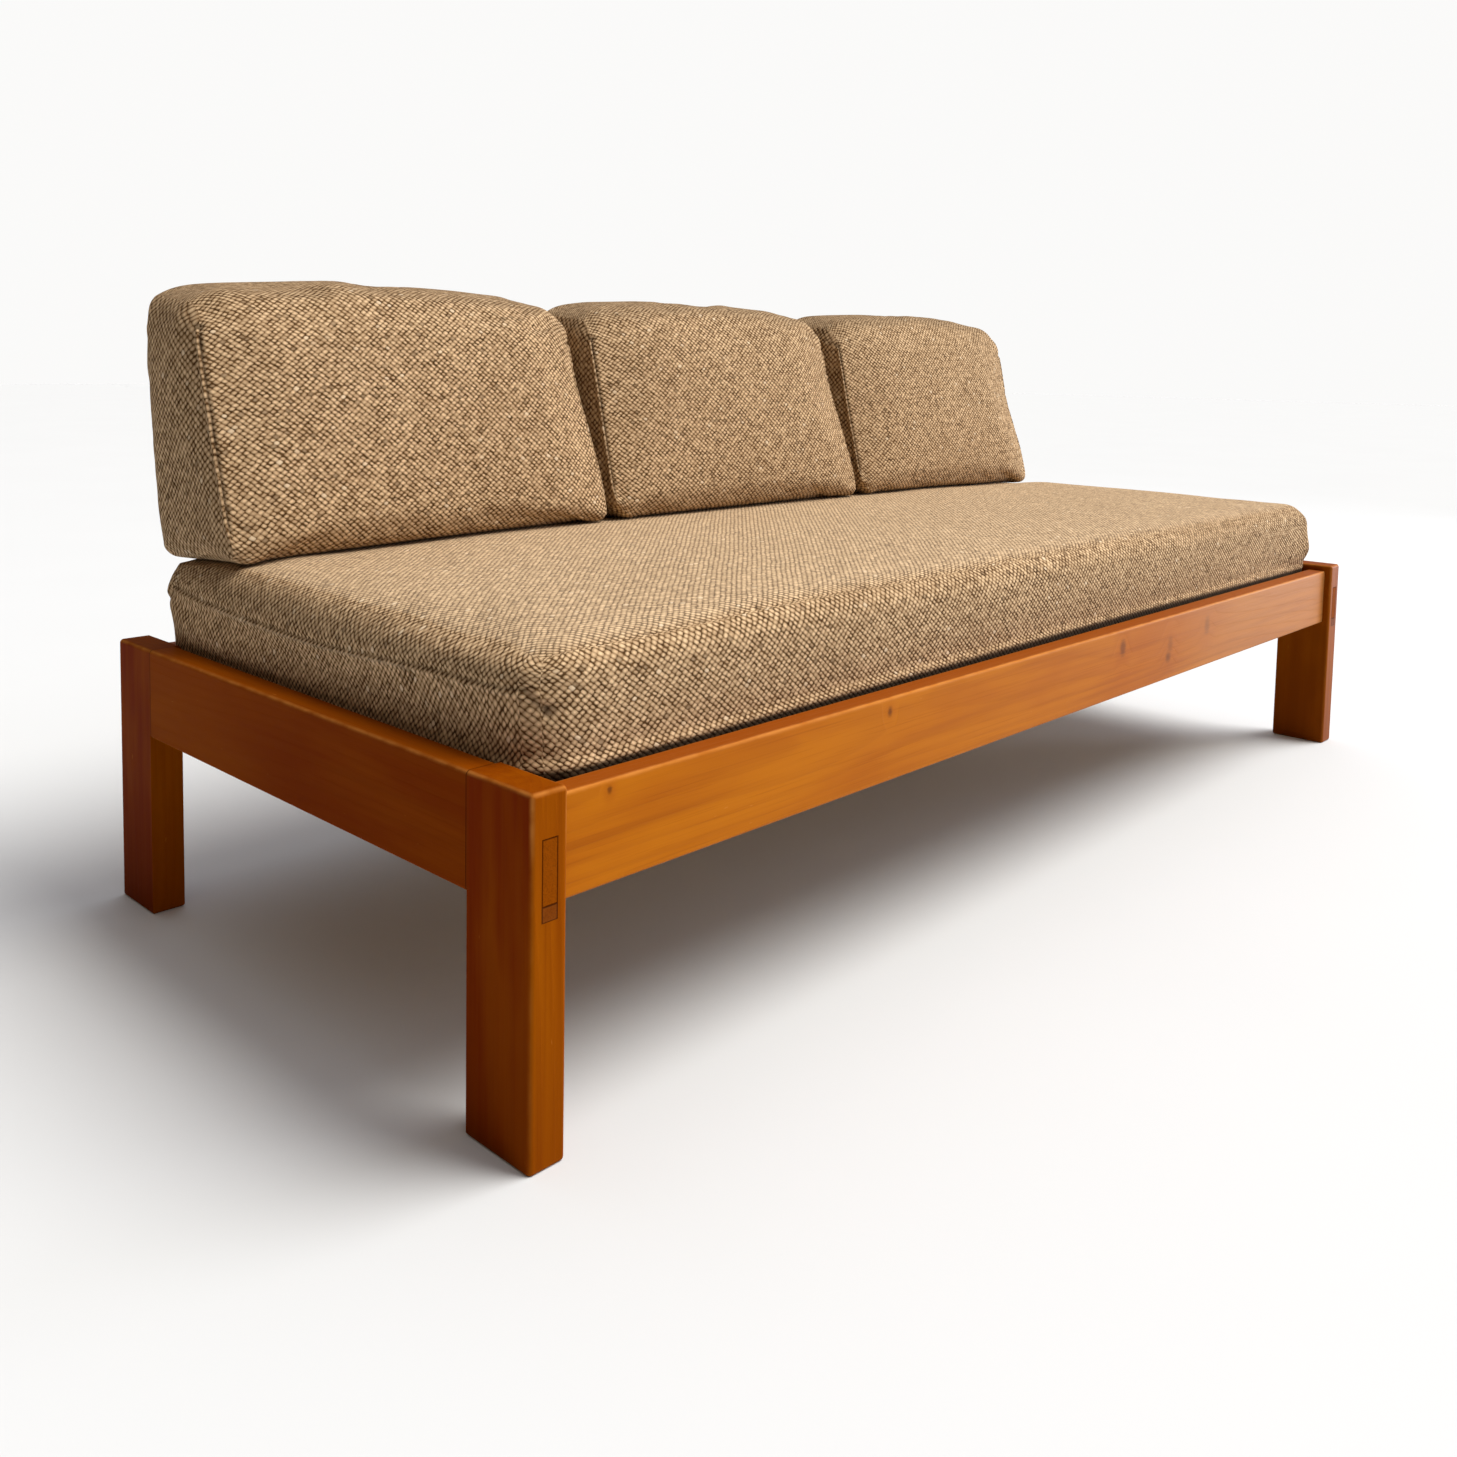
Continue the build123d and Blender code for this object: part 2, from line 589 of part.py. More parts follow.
# Back cushions
cushion_cover, cushion_foam = cover_and_foam(CUSHION_WIDTH / 2, CUSHION_ROLL, cushion_profile)
cushion_zip_place = (
    CUSHION_WIDTH / 2 - CUSHION_ROLL - ZIP_END_MARGIN,
    CUSHION_BACK_Y,
    CUSHION_SEAT_Z + CUSHION_ZIP_RISE,
)
cushion_pieces = {
    "cover": cushion_cover,
    "foam": cushion_foam,
    "zip": zip_chain(*cushion_zip_place),
    "zip_slider": zip_slider(*cushion_zip_place),
}
for number, name in enumerate(CUSHION_NAMES):
    centre_x = (number - (len(CUSHION_NAMES) - 1) / 2) * (CUSHION_WIDTH + CUSHION_GAP)
    for piece, part in cushion_pieces.items():
        save(Pos(centre_x, 0, 0) * part, f"cushion_{name}_{piece}")
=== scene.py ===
"""Looks of a low wooden daybed: a plank-legged frame, a thick tweed mattress and three wedge back cushions."""

import math

import bmesh
import bpy
import numpy as np
from bpy.props import FloatProperty, FloatVectorProperty, IntProperty, PointerProperty
from mathutils import Matrix, Vector, noise


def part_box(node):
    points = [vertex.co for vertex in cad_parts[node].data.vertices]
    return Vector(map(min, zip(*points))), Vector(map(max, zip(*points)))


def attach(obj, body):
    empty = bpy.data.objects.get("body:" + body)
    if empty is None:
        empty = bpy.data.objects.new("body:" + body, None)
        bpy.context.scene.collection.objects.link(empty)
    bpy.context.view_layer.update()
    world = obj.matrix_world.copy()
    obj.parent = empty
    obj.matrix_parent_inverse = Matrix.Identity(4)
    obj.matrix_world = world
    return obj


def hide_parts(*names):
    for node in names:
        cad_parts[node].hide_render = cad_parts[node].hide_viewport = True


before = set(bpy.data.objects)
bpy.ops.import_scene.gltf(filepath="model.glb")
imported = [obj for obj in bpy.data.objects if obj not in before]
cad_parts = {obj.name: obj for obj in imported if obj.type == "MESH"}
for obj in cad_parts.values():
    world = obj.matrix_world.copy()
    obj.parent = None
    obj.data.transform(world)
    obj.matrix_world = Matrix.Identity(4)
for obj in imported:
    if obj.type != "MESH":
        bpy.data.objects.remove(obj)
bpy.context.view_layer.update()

bl_info = {
    "name": "Daybed",
    "version": (1, 0, 0),
    "blender": (4, 5, 0),
    "location": "View3D > Sidebar > Daybed",
    "description": "Dresses the packed daybed: lacquered wood, tweed mattress and back cushions, zips and fittings",
    "category": "Object",
}

CUSHIONS = ("left", "middle", "right")
SAG_SEEDS = {"mattress": 3.0, "left": 11.0, "middle": 23.0, "right": 37.0}
SLAT_PITCH = 0.1443
MATTRESS_ZIP_Z = 0.3893
CUSHION_ZIP_HEIGHT = 0.060
ZIP_TAPE_THICKNESS = 0.001
RIB_PITCH, PICK_PITCH, TOOTH_PITCH = 0.0011, 0.0016, 0.0024
WORN_EDGE = 0.0052
LACQUER_TINT = (1.0, 0.70, 0.30, 1.0)
RAIL_KNOTS = (
    # x, z, half width, half height, strength
    (-0.898, 0.319, 0.0040, 0.0050, 0.8),
    (-0.459, 0.3125, 0.0060, 0.0070, 0.85),
    (0.124, 0.302, 0.0110, 0.0160, 0.75),
    (0.279, 0.266, 0.0130, 0.0110, 0.75),
    (0.285, 0.284, 0.0110, 0.0170, 0.45),
    (0.421, 0.297, 0.0130, 0.0180, 0.6),
)
TENON_JOINTS = (((0.970, 0.405, 0.238), (0.988, 0.430, 0.298)), ((None, 0.3232, None), (None, 0.3270, None)))
WEDGE_JOINTS = (((0.970, 0.405, 0.2235), (0.988, 0.430, 0.2385)),)
LOW_TINT, FILL_TINT, DARK_TINT = (1.0, 0.78, 0.55), (0.95, 0.985, 1.07), (1.0, 0.68, 0.38)
BACKDROP = (0.962, 0.957, 0.948, 1.0)
KEY_COLOUR, KEY_AIM, KEY_SPREAD = (1.0, 0.96, 0.90), (-0.44, 0.365, -0.82), 38.0
CAMERA_PLACE = (-1.7010, -1.2473, 0.7064)
CAMERA_TURN = (44.35, 4.57, 0.77)
LENS_MM, SENSOR_MM, LENS_SHIFT = 32.516, 36.0, (0.0664, -0.1798)


def colour_property(name, description, default):
    return FloatVectorProperty(
        name=name, description=description, default=default, subtype="COLOR", size=3, min=0.0, max=1.0
    )


def length_property(name, description, default):
    return FloatProperty(name=name, description=description, default=default, unit="LENGTH", min=0.0, precision=4)


class TweedSettings(bpy.types.PropertyGroup):
    """Yarns of the tweed covers"""

    bead: colour_property("Bead", "Light weft yarn where it floats over the warp", (0.78, 0.56, 0.335))
    # Deep bead is also the painted shade on the flanks of each float.
    bead_deep: colour_property("Deep bead", "Flanks of the light yarn, between its neighbours", (0.22, 0.122, 0.052))
    # The ground colour, darkened, is also the colour of the painted shade on the covers.
    ground: colour_property("Ground", "Dark warp between the floats", (0.050, 0.022, 0.007))
    # The fleck colour is also the colour of the painted light on the covers.
    fleck_and_painted_highlight: colour_property("Fleck", "Pale slubs and flecks", (0.82, 0.66, 0.46))
    bead_width: length_property("Bead width", "Width of one float", 0.0047)
    bead_height: length_property("Bead height", "Height of one float", 0.0039)
    relief: length_property("Relief", "Height of the floats over the ground", 0.0011)


class WoodSettings(bpy.types.PropertyGroup):
    """Finish of the wooden frame"""

    rail: colour_property("Side rails", "Amber lacquer on the long rails", (0.425, 0.112, 0.0014))
    end_rail: colour_property("End rails", "Brown lacquer on the end rails", (0.225, 0.044, 0.0010))
    leg: colour_property("Legs", "Red-brown lacquer on the legs", (0.268, 0.059, 0.0008))
    wedge: colour_property("Wedges", "Darker wood of the tenon wedges", (0.185, 0.041, 0.0012))
    tenon: colour_property("Tenon ends", "End grain of the through tenons", (0.250, 0.056, 0.0012))
    # The worn-edge colour also paints glare on the upper band of the long rails.
    worn: colour_property("Worn edge", "Pale wood along rubbed edges", (0.60, 0.235, 0.050))
    # Painted glare colour, laid on the far end of the long rails.
    painted_glare: colour_property("Painted glare", "Glare-painted far end of the long rails", (0.50, 0.29, 0.145))
    slat: colour_property("Slats", "Unfinished softwood", (0.58, 0.39, 0.20))
    ring: length_property("Ring width", "Distance between growth rings", 0.011)


class CushionSettings(bpy.types.PropertyGroup):
    """Shape of the padded pieces"""

    swell: FloatProperty(name="Swell", description="Pressure inside the covers", default=4.0, min=0.0)
    swell_frames: IntProperty(name="Swell frames", description="Steps of the swelling", default=20, min=2)
    mattress_swell: length_property("Mattress swell", "Furthest that the mattress cover moves", 0.006)
    cushion_swell: length_property("Cushion swell", "Furthest that a cushion cover moves", 0.010)
    side_pull: length_property("Side pull", "How far a cushion's sides draw in near its top", 0.008)
    top_crown: length_property("Top crown", "Rise of a cushion's top in the middle", 0.014)
    front_crown: length_property("Front crown", "Rise of a cushion's front in the middle", 0.010)
    seam: length_property("Seam", "Height of the sewn edge over the cover", 0.0034)


class StageSettings(bpy.types.PropertyGroup):
    """Studio around the daybed"""

    floor: colour_property("Floor", "Pale studio floor", (0.666, 0.686, 0.700))
    key: FloatProperty(name="Key light", description="Strength of the main soft light", default=3.4, min=0.0)
    fill: FloatProperty(name="Fill", description="Strength of the soft light from above", default=1.36, min=0.0)
    low_fill: FloatProperty(name="Low fill", description="Strength of the light from the sides", default=0.08, min=0.0)
    dark_side: FloatProperty(name="Dark side", description="Share of light from the near end", default=0.195, min=0.0)
    sheen: FloatProperty(name="Side panel", description="Power of the panel at the far end", default=84.0, min=0.0)


def toned(colour, factors):
    """The colour times one factor, or times one for each channel."""
    return tuple(channel * float(factor) for channel, factor in zip(colour, np.broadcast_to(factors, 3)))


class Finish:
    """A material that is put together node by node."""

    def __init__(self, name):
        self.material = bpy.data.materials.new(name)
        self.material.use_nodes = True
        self.tree = self.material.node_tree
        self.shader = self.tree.nodes["Principled BSDF"]

    def feed(self, socket, value):
        if isinstance(value, bpy.types.NodeSocket):
            self.tree.links.new(value, socket)
        else:
            socket.default_value = value

    def node(self, kind, **settings):
        made = self.tree.nodes.new(kind)
        for key, value in settings.items():
            setattr(made, key, value)
        return made

    def math(self, operation, *values):
        made = self.node("ShaderNodeMath", operation=operation)
        for socket, value in zip(made.inputs, values):
            self.feed(socket, value)
        return made.outputs[0]

    def total(self, *values):
        result = values[0]
        for value in values[1:]:
            result = self.math("ADD", result, value)
        return result

    def product(self, *values):
        result = values[0]
        for value in values[1:]:
            result = self.math("MULTIPLY", result, value)
        return result

    def less(self, value, other):
        return self.math("SUBTRACT", value, other)

    def about(self, value, span):
        """Turns a random value from 0 to 1 into one that lies about 0, within the given span."""
        return self.product(self.less(value, 0.5), span)

    def squares(self, *values):
        return self.total(*(self.product(value, value) for value in values))

    def step(self, value, start, end):
        """0 before start, 1 after end, smooth between; start may be above end."""
        made = self.node("ShaderNodeMapRange", interpolation_type="SMOOTHSTEP")
        low, high = (0.0, 1.0) if start < end else (1.0, 0.0)
        self.feed(made.inputs["Value"], value)
        made.inputs["From Min"].default_value = min(start, end)
        made.inputs["From Max"].default_value = max(start, end)
        made.inputs["To Min"].default_value = low
        made.inputs["To Max"].default_value = high
        return made.outputs["Result"]

    def mix(self, share, first, second):
        made = self.node("ShaderNodeMix", data_type="RGBA")
        self.feed(made.inputs[0], share)
        self.feed(made.inputs[6], self.rgba(first))
        self.feed(made.inputs[7], self.rgba(second))
        return made.outputs[2]

    def stain(self, face, colour, value, start, end, share):
        """Lays a colour over the face, up to the given share, as the value goes from start to end."""
        return self.mix(self.product(self.step(value, start, end), share), face, colour)

    def rgba(self, colour):
        return colour if isinstance(colour, bpy.types.NodeSocket) else (*colour[:3], 1.0)

    def vector(self, x=0.0, y=0.0, z=0.0):
        made = self.node("ShaderNodeCombineXYZ")
        for socket, value in zip(made.inputs, (x, y, z)):
            self.feed(socket, value)
        return made.outputs[0]

    def scaled(self, values, *factors):
        return self.vector(*(self.product(value, factor) for value, factor in zip(values, factors)))

    def split(self, vector):
        made = self.node("ShaderNodeSeparateXYZ")
        self.feed(made.inputs[0], vector)
        return made.outputs[0], made.outputs[1], made.outputs[2]

    def object_place(self):
        return self.node("ShaderNodeTexCoord").outputs["Object"]

    def object_normal(self):
        return self.node("ShaderNodeTexCoord").outputs["Normal"]

    def noise(self, place, scale=1.0, detail=2.0, output="Fac"):
        made = self.node("ShaderNodeTexNoise")
        self.feed(made.inputs["Vector"], place)
        made.inputs["Scale"].default_value = scale
        made.inputs["Detail"].default_value = detail
        return made.outputs[output]

    def chance(self, place, output="Value"):
        made = self.node("ShaderNodeTexWhiteNoise", noise_dimensions="3D")
        self.feed(made.inputs["Vector"], place)
        return made.outputs[output]

    def relief(self, height, distance):
        made = self.node("ShaderNodeBump")
        made.inputs["Strength"].default_value = 1.0
        made.inputs["Distance"].default_value = distance
        self.feed(made.inputs["Height"], height)
        self.feed(self.shader.inputs["Normal"], made.outputs["Normal"])

    def surface(self, colour, roughness, **constants):
        self.feed(self.shader.inputs["Base Color"], self.rgba(colour))
        self.feed(self.shader.inputs["Roughness"], roughness)
        for name, value in constants.items():
            self.shader.inputs[name.replace("_", " ")].default_value = value
        return self.material


def tweed_finish(settings):
    """Hopsack of pale oval floats staggered over a dark warp, drawn on the cover's own unrolled map."""
    cloth = Finish("hopsack_tweed")
    place = cloth.node("ShaderNodeUVMap", uv_map="weave").outputs[0]
    across, along, _ = cloth.split(place)
    drift = cloth.split(cloth.noise(place, 24.0, output="Color"))
    jitter = cloth.split(cloth.noise(place, 150.0, 1.0, output="Color"))
    counted = []
    for flat, slow, quick, pitch in zip((across, along), drift, jitter, (settings.bead_width, settings.bead_height)):
        shifted = cloth.total(flat, cloth.about(slow, 0.0040), cloth.about(quick, 0.0012))
        counted.append(cloth.math("DIVIDE", shifted, pitch))
    column, row = counted
    lattice = [
        cloth.math("ROUND", cloth.product(cloth.math(operation, column, row), 0.5))
        for operation in ("ADD", "SUBTRACT")
    ]
    luck, dye, knot = cloth.split(cloth.chance(cloth.vector(*lattice), "Color"))
    lift, lean, rock = cloth.split(cloth.chance(cloth.vector(*lattice, 7.3), "Color"))
    off_x = cloth.total(cloth.less(column, cloth.total(*lattice)), cloth.about(lean, 0.24))
    off_y = cloth.total(cloth.less(row, cloth.less(*lattice)), cloth.about(lift, 0.22))
    tilt = cloth.total(0.06, cloth.about(rock, 0.6))
    off_y = cloth.total(off_y, cloth.product(off_x, tilt))
    yarn = cloth.noise(cloth.vector(cloth.product(column, 0.11), cloth.math("ROUND", row)))
    size = cloth.total(1.0, cloth.about(yarn, 0.38), cloth.about(luck, 0.42))
    reach_x = cloth.math("DIVIDE", off_x, cloth.product(size, 0.90))
    reach_y = cloth.math("DIVIDE", off_y, cloth.product(size, 0.74))
    reach = cloth.squares(reach_x, reach_y)
    dome = cloth.math("SQRT", cloth.math("MAXIMUM", cloth.less(1.0, reach), 0.0))
    bead = cloth.step(reach, 1.12, 0.58)
    twist = cloth.noise(cloth.scaled((across, along), 900.0, 1700.0))
    # Painted highlight and shade: each float is lightest at its middle and darkens towards its flanks, on top of its
    # own dye.
    peak = cloth.math("EXPONENT", cloth.product(reach, -2.1))
    lit = cloth.product(peak, cloth.total(0.62, cloth.product(dye, 0.55)))
    shade = cloth.total(lit, cloth.product(twist, 0.24), -0.12)
    yarn_colour = cloth.mix(shade, settings.bead_deep, settings.bead)
    yarn_colour = cloth.mix(cloth.product(cloth.step(knot, 0.988, 0.996), dome, 0.7), yarn_colour, settings.fleck_and_painted_highlight)
    yarn_colour = cloth.stain(yarn_colour, settings.ground, knot, 0.04, 0.01, 0.5)
    slub = cloth.noise(cloth.scaled((across, along), 420.0, 38.0), 1.0, 1.0)
    yarn_colour = cloth.stain(yarn_colour, settings.fleck_and_painted_highlight, slub, 0.80, 0.88, 0.35)
    gap_number = cloth.vector(*(cloth.math("FLOOR", value) for value in counted), 3.1)
    ground = cloth.mix(cloth.product(cloth.chance(gap_number), 0.60), settings.ground, settings.bead_deep)
    colour = cloth.mix(bead, ground, yarn_colour)
    colour = cloth.stain(colour, settings.bead_deep, cloth.noise(place, 5.0, 3.0), 0.35, 0.75, 0.14)
    # Painted shade and light from the cover's own attribute: above 0 it darkens the cloth towards a deep warp colour,
    # below 0 it lightens it towards the pale fleck colour.
    painted_shade_and_light = cloth.node("ShaderNodeAttribute", attribute_name="painted_shade_and_light").outputs["Fac"]
    colour = cloth.mix(painted_shade_and_light, colour, toned(settings.ground, 0.4))
    colour = cloth.mix(cloth.product(painted_shade_and_light, -1.0), colour, settings.fleck_and_painted_highlight)
    cloth.relief(cloth.total(dome, cloth.product(twist, 0.16)), settings.relief)
    sheen = {"Sheen_Weight": 0.06, "Sheen_Roughness": 0.40, "Sheen_Tint": (0.95, 0.80, 0.58, 1.0)}
    return cloth.surface(colour, 0.92, Specular_IOR_Level=0.05, **sheen)


def edge_closeness(wood, place, low, high, reach):
    """1 on the edges of the box from low to high, 0 from reach inwards."""
    gaps = []
    for value, start, end in zip(place, low, high):
        gap = wood.math("MINIMUM", wood.less(value, start), wood.less(end, value))
        gaps.append(wood.math("MAXIMUM", gap, 0.0))
    least = wood.math("MINIMUM", wood.math("MINIMUM", gaps[0], gaps[1]), gaps[2])
    most = wood.math("MAXIMUM", wood.math("MAXIMUM", gaps[0], gaps[1]), gaps[2])
    middle = wood.less(wood.total(*gaps), wood.total(least, most))
    return wood.step(middle, reach, 0.0)


def joint_lines(wood, place, boxes):
    """Dark glue lines just inside the edges of the given boxes, folded onto the +X +Y quarter."""
    lines = 0.0
    for low, high in boxes:
        depths = []
        for value, start, end in zip(place, low, high):
            if start is not None:
                depths.append(wood.math("MINIMUM", wood.less(value, start), wood.less(end, value)))
        depth = depths[0]
        for other in depths[1:]:
            depth = wood.math("MINIMUM", depth, other)
        inside = wood.step(depth, -0.0004, 0.0)
        lines = wood.math("MAXIMUM", lines, wood.product(inside, wood.step(depth, 0.0017, 0.0006)))
    return lines


def planed_wood(
    name, along, colour, settings, box, pith, seeds, gloss, heart=None, knots=(), wear=0.6, joints=(), ends=None
):
    """Lacquered softwood with its grain along one axis; mirrored pieces share it, each with its own grain."""
    wood = Finish(name)
    x, y, z = wood.split(wood.object_place())
    own = wood.total(*(wood.product(wood.math("SIGN", value), seed) for value, seed in zip((x, y), seeds)))
    mirrored = (wood.math("ABSOLUTE", x), wood.math("ABSOLUTE", y), z)
    facing = [wood.math("ABSOLUTE", value) for value in wood.split(wood.object_normal())]
    runs = {"X": (x, z, y), "Y": (y, z, x), "Z": (z, y, x)}[along]
    ring_sides = {"X": (z, mirrored[1]), "Y": (z, mirrored[0]), "Z": (mirrored[1], mirrored[0])}[along]

    def grain(stretch, fineness, shift=1.0, detail=3.0):
        run = wood.total(wood.product(runs[0], stretch), wood.product(own, shift))
        sides = [wood.product(side, fineness) for side in runs[1:]]
        return wood.noise(wood.vector(run, *sides), 1.0, detail)

    deep = toned(colour, (0.58, 0.42, 0.5))
    pale = toned(colour, (1.15, 1.30, 1.2))
    fibre = grain(7.0, 520.0)
    streak = grain(1.9, 85.0, 1.7)
    cloud = grain(3.2, 13.0, 2.3)
    bend = wood.about(grain(1.3, 5.0, 0.6, 1.0), 0.085)
    knot_dark = 0.0
    for knot_x, knot_z, wide, tall, strength in knots:
        off_x = wood.math("DIVIDE", wood.less(x, knot_x), wide)
        off_z = wood.math("DIVIDE", wood.less(z, knot_z), tall)
        away = wood.math("SQRT", wood.squares(off_x, off_z))
        front = wood.math("LESS_THAN", y, 0.0)
        ragged = wood.total(away, wood.about(fibre, 1.1))
        core = wood.product(wood.step(ragged, 1.15, 0.25), front, strength)
        halo = wood.product(wood.step(away, 3.4, 0.6), front)
        knot_dark = wood.math("MAXIMUM", knot_dark, core)
        bend = wood.total(bend, wood.product(halo, 0.007))
        cloud = wood.total(cloud, wood.product(halo, 0.10))
    radius = wood.math("SQRT", wood.squares(*(wood.less(side, centre) for side, centre in zip(ring_sides, pith))))
    ring = wood.math("FRACT", wood.math("DIVIDE", wood.total(radius, bend), settings.ring))
    late = wood.product(wood.step(ring, 0.25, 0.88), wood.step(ring, 1.0, 0.90))
    face = wood.mix(wood.step(cloud, 0.34, 0.66), pale, colour)
    face = wood.mix(wood.product(late, 0.13), face, deep)
    face = wood.stain(face, deep, streak, 0.44, 0.8, 0.42)
    face = wood.stain(face, deep, fibre, 0.52, 0.78, 0.34)
    if knots:
        face = wood.mix(wood.product(knot_dark, 0.85), face, toned(deep, 0.35))
    # Painted shade: faces turned along X take a darker, redder tone, mixed with streaks of the grain.
    if heart:
        x_shaded_face = wood.stain(toned(colour, heart), face, streak, 0.36, 0.72, 0.30)
        x_shaded_face = wood.stain(x_shaded_face, face, cloud, 0.56, 0.36, 0.40)
        face = wood.stain(face, x_shaded_face, facing[0], 0.55, 0.95, 0.92)
    if along == "Y" and heart:
        face = wood.stain(face, settings.rail, y, -0.05, 0.22, 0.22)
    if along == "Z":
        # The legs darken towards the floor.
        face = wood.stain(face, deep, z, 0.20, 0.0, 0.38)
    if along == "X":
        # Painted glare: the upper band of the long rails' faces pales towards the far end in the worn-edge colour, and
        # the far end pales further in the glare colour.
        face = wood.mix(wood.product(wood.step(z, 0.255, 0.322), wood.step(x, -0.3, 1.0), 0.20), face, settings.worn)
        face = wood.stain(face, settings.painted_glare, x, 0.15, 0.60, 0.30)
        # Painted shade: the top faces of the long rails, under the mattress's edge, are darkened.
        face = wood.stain(face, deep, facing[2], 0.80, 0.97, 0.85)
    end_grain = wood.step(facing["XYZ".index(along)], 0.8, 0.95)
    if ends is None:
        face = wood.mix(wood.product(end_grain, 0.45), face, deep)
    else:
        pored = wood.noise(wood.object_place(), 900.0)
        face = wood.mix(end_grain, face, wood.stain(ends, toned(ends, 0.6), pored, 0.42, 0.75, 0.7))
    rub = wood.step(wood.noise(wood.object_place(), 38.0, 4.0), 0.30, 0.66)
    upper = wood.total(0.22, wood.product(wood.step(z, 0.25, 0.33), 0.78))
    worn = wood.total(0.30, wood.product(rub, 0.70))
    edge = wood.product(edge_closeness(wood, mirrored, *box, WORN_EDGE), worn, upper, wear)
    face = wood.mix(edge, face, settings.worn)
    scratch = wood.noise(wood.scaled(runs, 55.0, 260.0, 260.0), 1.0, 1.0)
    face = wood.stain(face, settings.worn, scratch, 0.78, 0.82, 0.30)
    if joints:
        face = wood.mix(wood.product(joint_lines(wood, mirrored, joints), 0.8), face, toned(deep, 0.22))
    wood.relief(wood.total(wood.product(fibre, 0.6), wood.product(late, 0.4)), 0.00024)
    roughness = wood.total(0.38, wood.product(fibre, 0.16), wood.product(edge, 0.12))
    return wood.surface(face, roughness, Specular_IOR_Level=gloss, Specular_Tint=LACQUER_TINT)


def slat_finish(settings):
    """Unfinished softwood; each slat has its own tone, read from its place along the bed."""
    wood = Finish("bare_slat_wood")
    x, y, z = wood.split(wood.object_place())
    number = wood.math("FLOOR", wood.math("DIVIDE", wood.total(x, 1.0), SLAT_PITCH))
    run = wood.total(wood.product(y, 3.0), wood.product(number, 9.7))
    grain = wood.noise(wood.scaled((run, x, z), 1.0, 60.0, 60.0), 1.0, 3.0)
    fibre = wood.noise(wood.scaled((run, x, z), 4.0, 500.0, 500.0))
    dark = toned(settings.slat, (0.62, 0.5, 0.4))
    face = wood.stain(settings.slat, dark, grain, 0.42, 0.72, 0.7)
    face = wood.stain(face, dark, fibre, 0.55, 0.8, 0.35)
    face = wood.mix(wood.product(wood.chance(wood.vector(number)), 0.35), face, dark)
    wood.relief(wood.total(fibre, grain), 0.0003)
    return wood.surface(face, wood.total(0.6, wood.product(fibre, 0.2)), Specular_IOR_Level=0.25)


def metal_finish(name, colour, roughness, along):
    """Metal with fine drawn lines along one axis and a little dulling."""
    metal = Finish(name)
    stretch = [3000.0 if axis != along else 60.0 for axis in "XYZ"]
    lines = metal.noise(metal.scaled(metal.split(metal.object_place()), *stretch))
    dull = metal.noise(metal.object_place(), 160.0, 3.0)
    dark = toned(colour, 0.6)
    face = metal.stain(colour, dark, dull, 0.4, 0.75, 0.5)
    face = metal.mix(metal.product(lines, 0.25), face, dark)
    metal.relief(lines, 0.00004)
    return metal.surface(face, metal.total(roughness, metal.product(dull, 0.18)), Metallic=1.0)


def zip_finish(name, tape_face, colour):
    """Ribbed cotton tape with a row of brass teeth along the middle."""
    tape = Finish(name)
    x, y, z = tape.split(tape.object_place())
    ribs, picks, teeth = (
        tape.math("SINE", tape.product(value, 2 * math.pi / pitch))
        for value, pitch in ((z, RIB_PITCH), (x, PICK_PITCH), (x, TOOTH_PITCH))
    )
    weave = tape.total(0.5, tape.product(ribs, picks, 0.5))
    cotton = tape.mix(weave, toned(colour, 0.55), colour)
    brass_row = tape.step(y, tape_face + 0.0002, tape_face + 0.0005)
    tooth = tape.step(teeth, -0.4, 0.3)
    brass = tape.mix(tooth, (0.10, 0.07, 0.03), (0.62, 0.46, 0.20))
    face = tape.mix(brass_row, cotton, brass)
    tape.relief(tape.total(tape.product(weave, 0.3), tape.product(tooth, brass_row)), 0.0006)
    tape.feed(tape.shader.inputs["Metallic"], brass_row)
    return tape.surface(face, tape.total(0.85, tape.product(brass_row, -0.45)), Specular_IOR_Level=0.3)


def stations(low, high, pitch, near):
    """Cuts from low to high, close together at the given distances from both ends."""
    start = [low + gap for gap in near]
    end = [high - gap for gap in reversed(near)]
    count = max(1, round((end[0] - start[-1]) / pitch))
    inner = [start[-1] + (end[0] - start[-1]) * step / count for step in range(1, count)]
    return start + inner + end


def gridded_block(cuts):
    """A box that is divided at the given cuts along x, y and z."""
    block = bmesh.new()
    bmesh.ops.create_cube(block, size=2.0)
    for axis, marks in enumerate(cuts):
        runs = [e for e in block.edges if abs(e.verts[0].co[axis] - e.verts[1].co[axis]) > 1.0]
        bmesh.ops.subdivide_edges(block, edges=runs, cuts=len(marks) - 2, use_grid_fill=True)
    for vert in block.verts:
        for axis, marks in enumerate(cuts):
            vert.co[axis] = marks[round((vert.co[axis] + 1.0) / 2.0 * (len(marks) - 1))]
    bmesh.ops.recalc_face_normals(block, faces=block.faces)
    return block


def portion(value, start, end):
    return (value - start) / (end - start)


def smooth_rise(value, start, end):
    share = np.clip(portion(value, start, end), 0.0, 1.0)
    return share * share * (3.0 - 2.0 * share)


def bell(value, centre, width):
    return np.exp(-(((value - centre) / width) ** 2))


def inset(flat, low, high, axis):
    """Each point's distance from the nearer side of the block along one axis."""
    return np.minimum(flat[:, axis] - low[axis], high[axis] - flat[:, axis])


def lumps(points, scale, seed, stretch=(1.0, 1.0, 1.0)):
    """Soft random swellings from -1 to 1, one number for each point."""
    shift = Vector((seed, seed * 1.7, -seed))
    pull = np.array(stretch) * scale
    return np.array([noise.noise(Vector(point * pull) + shift) for point in points])


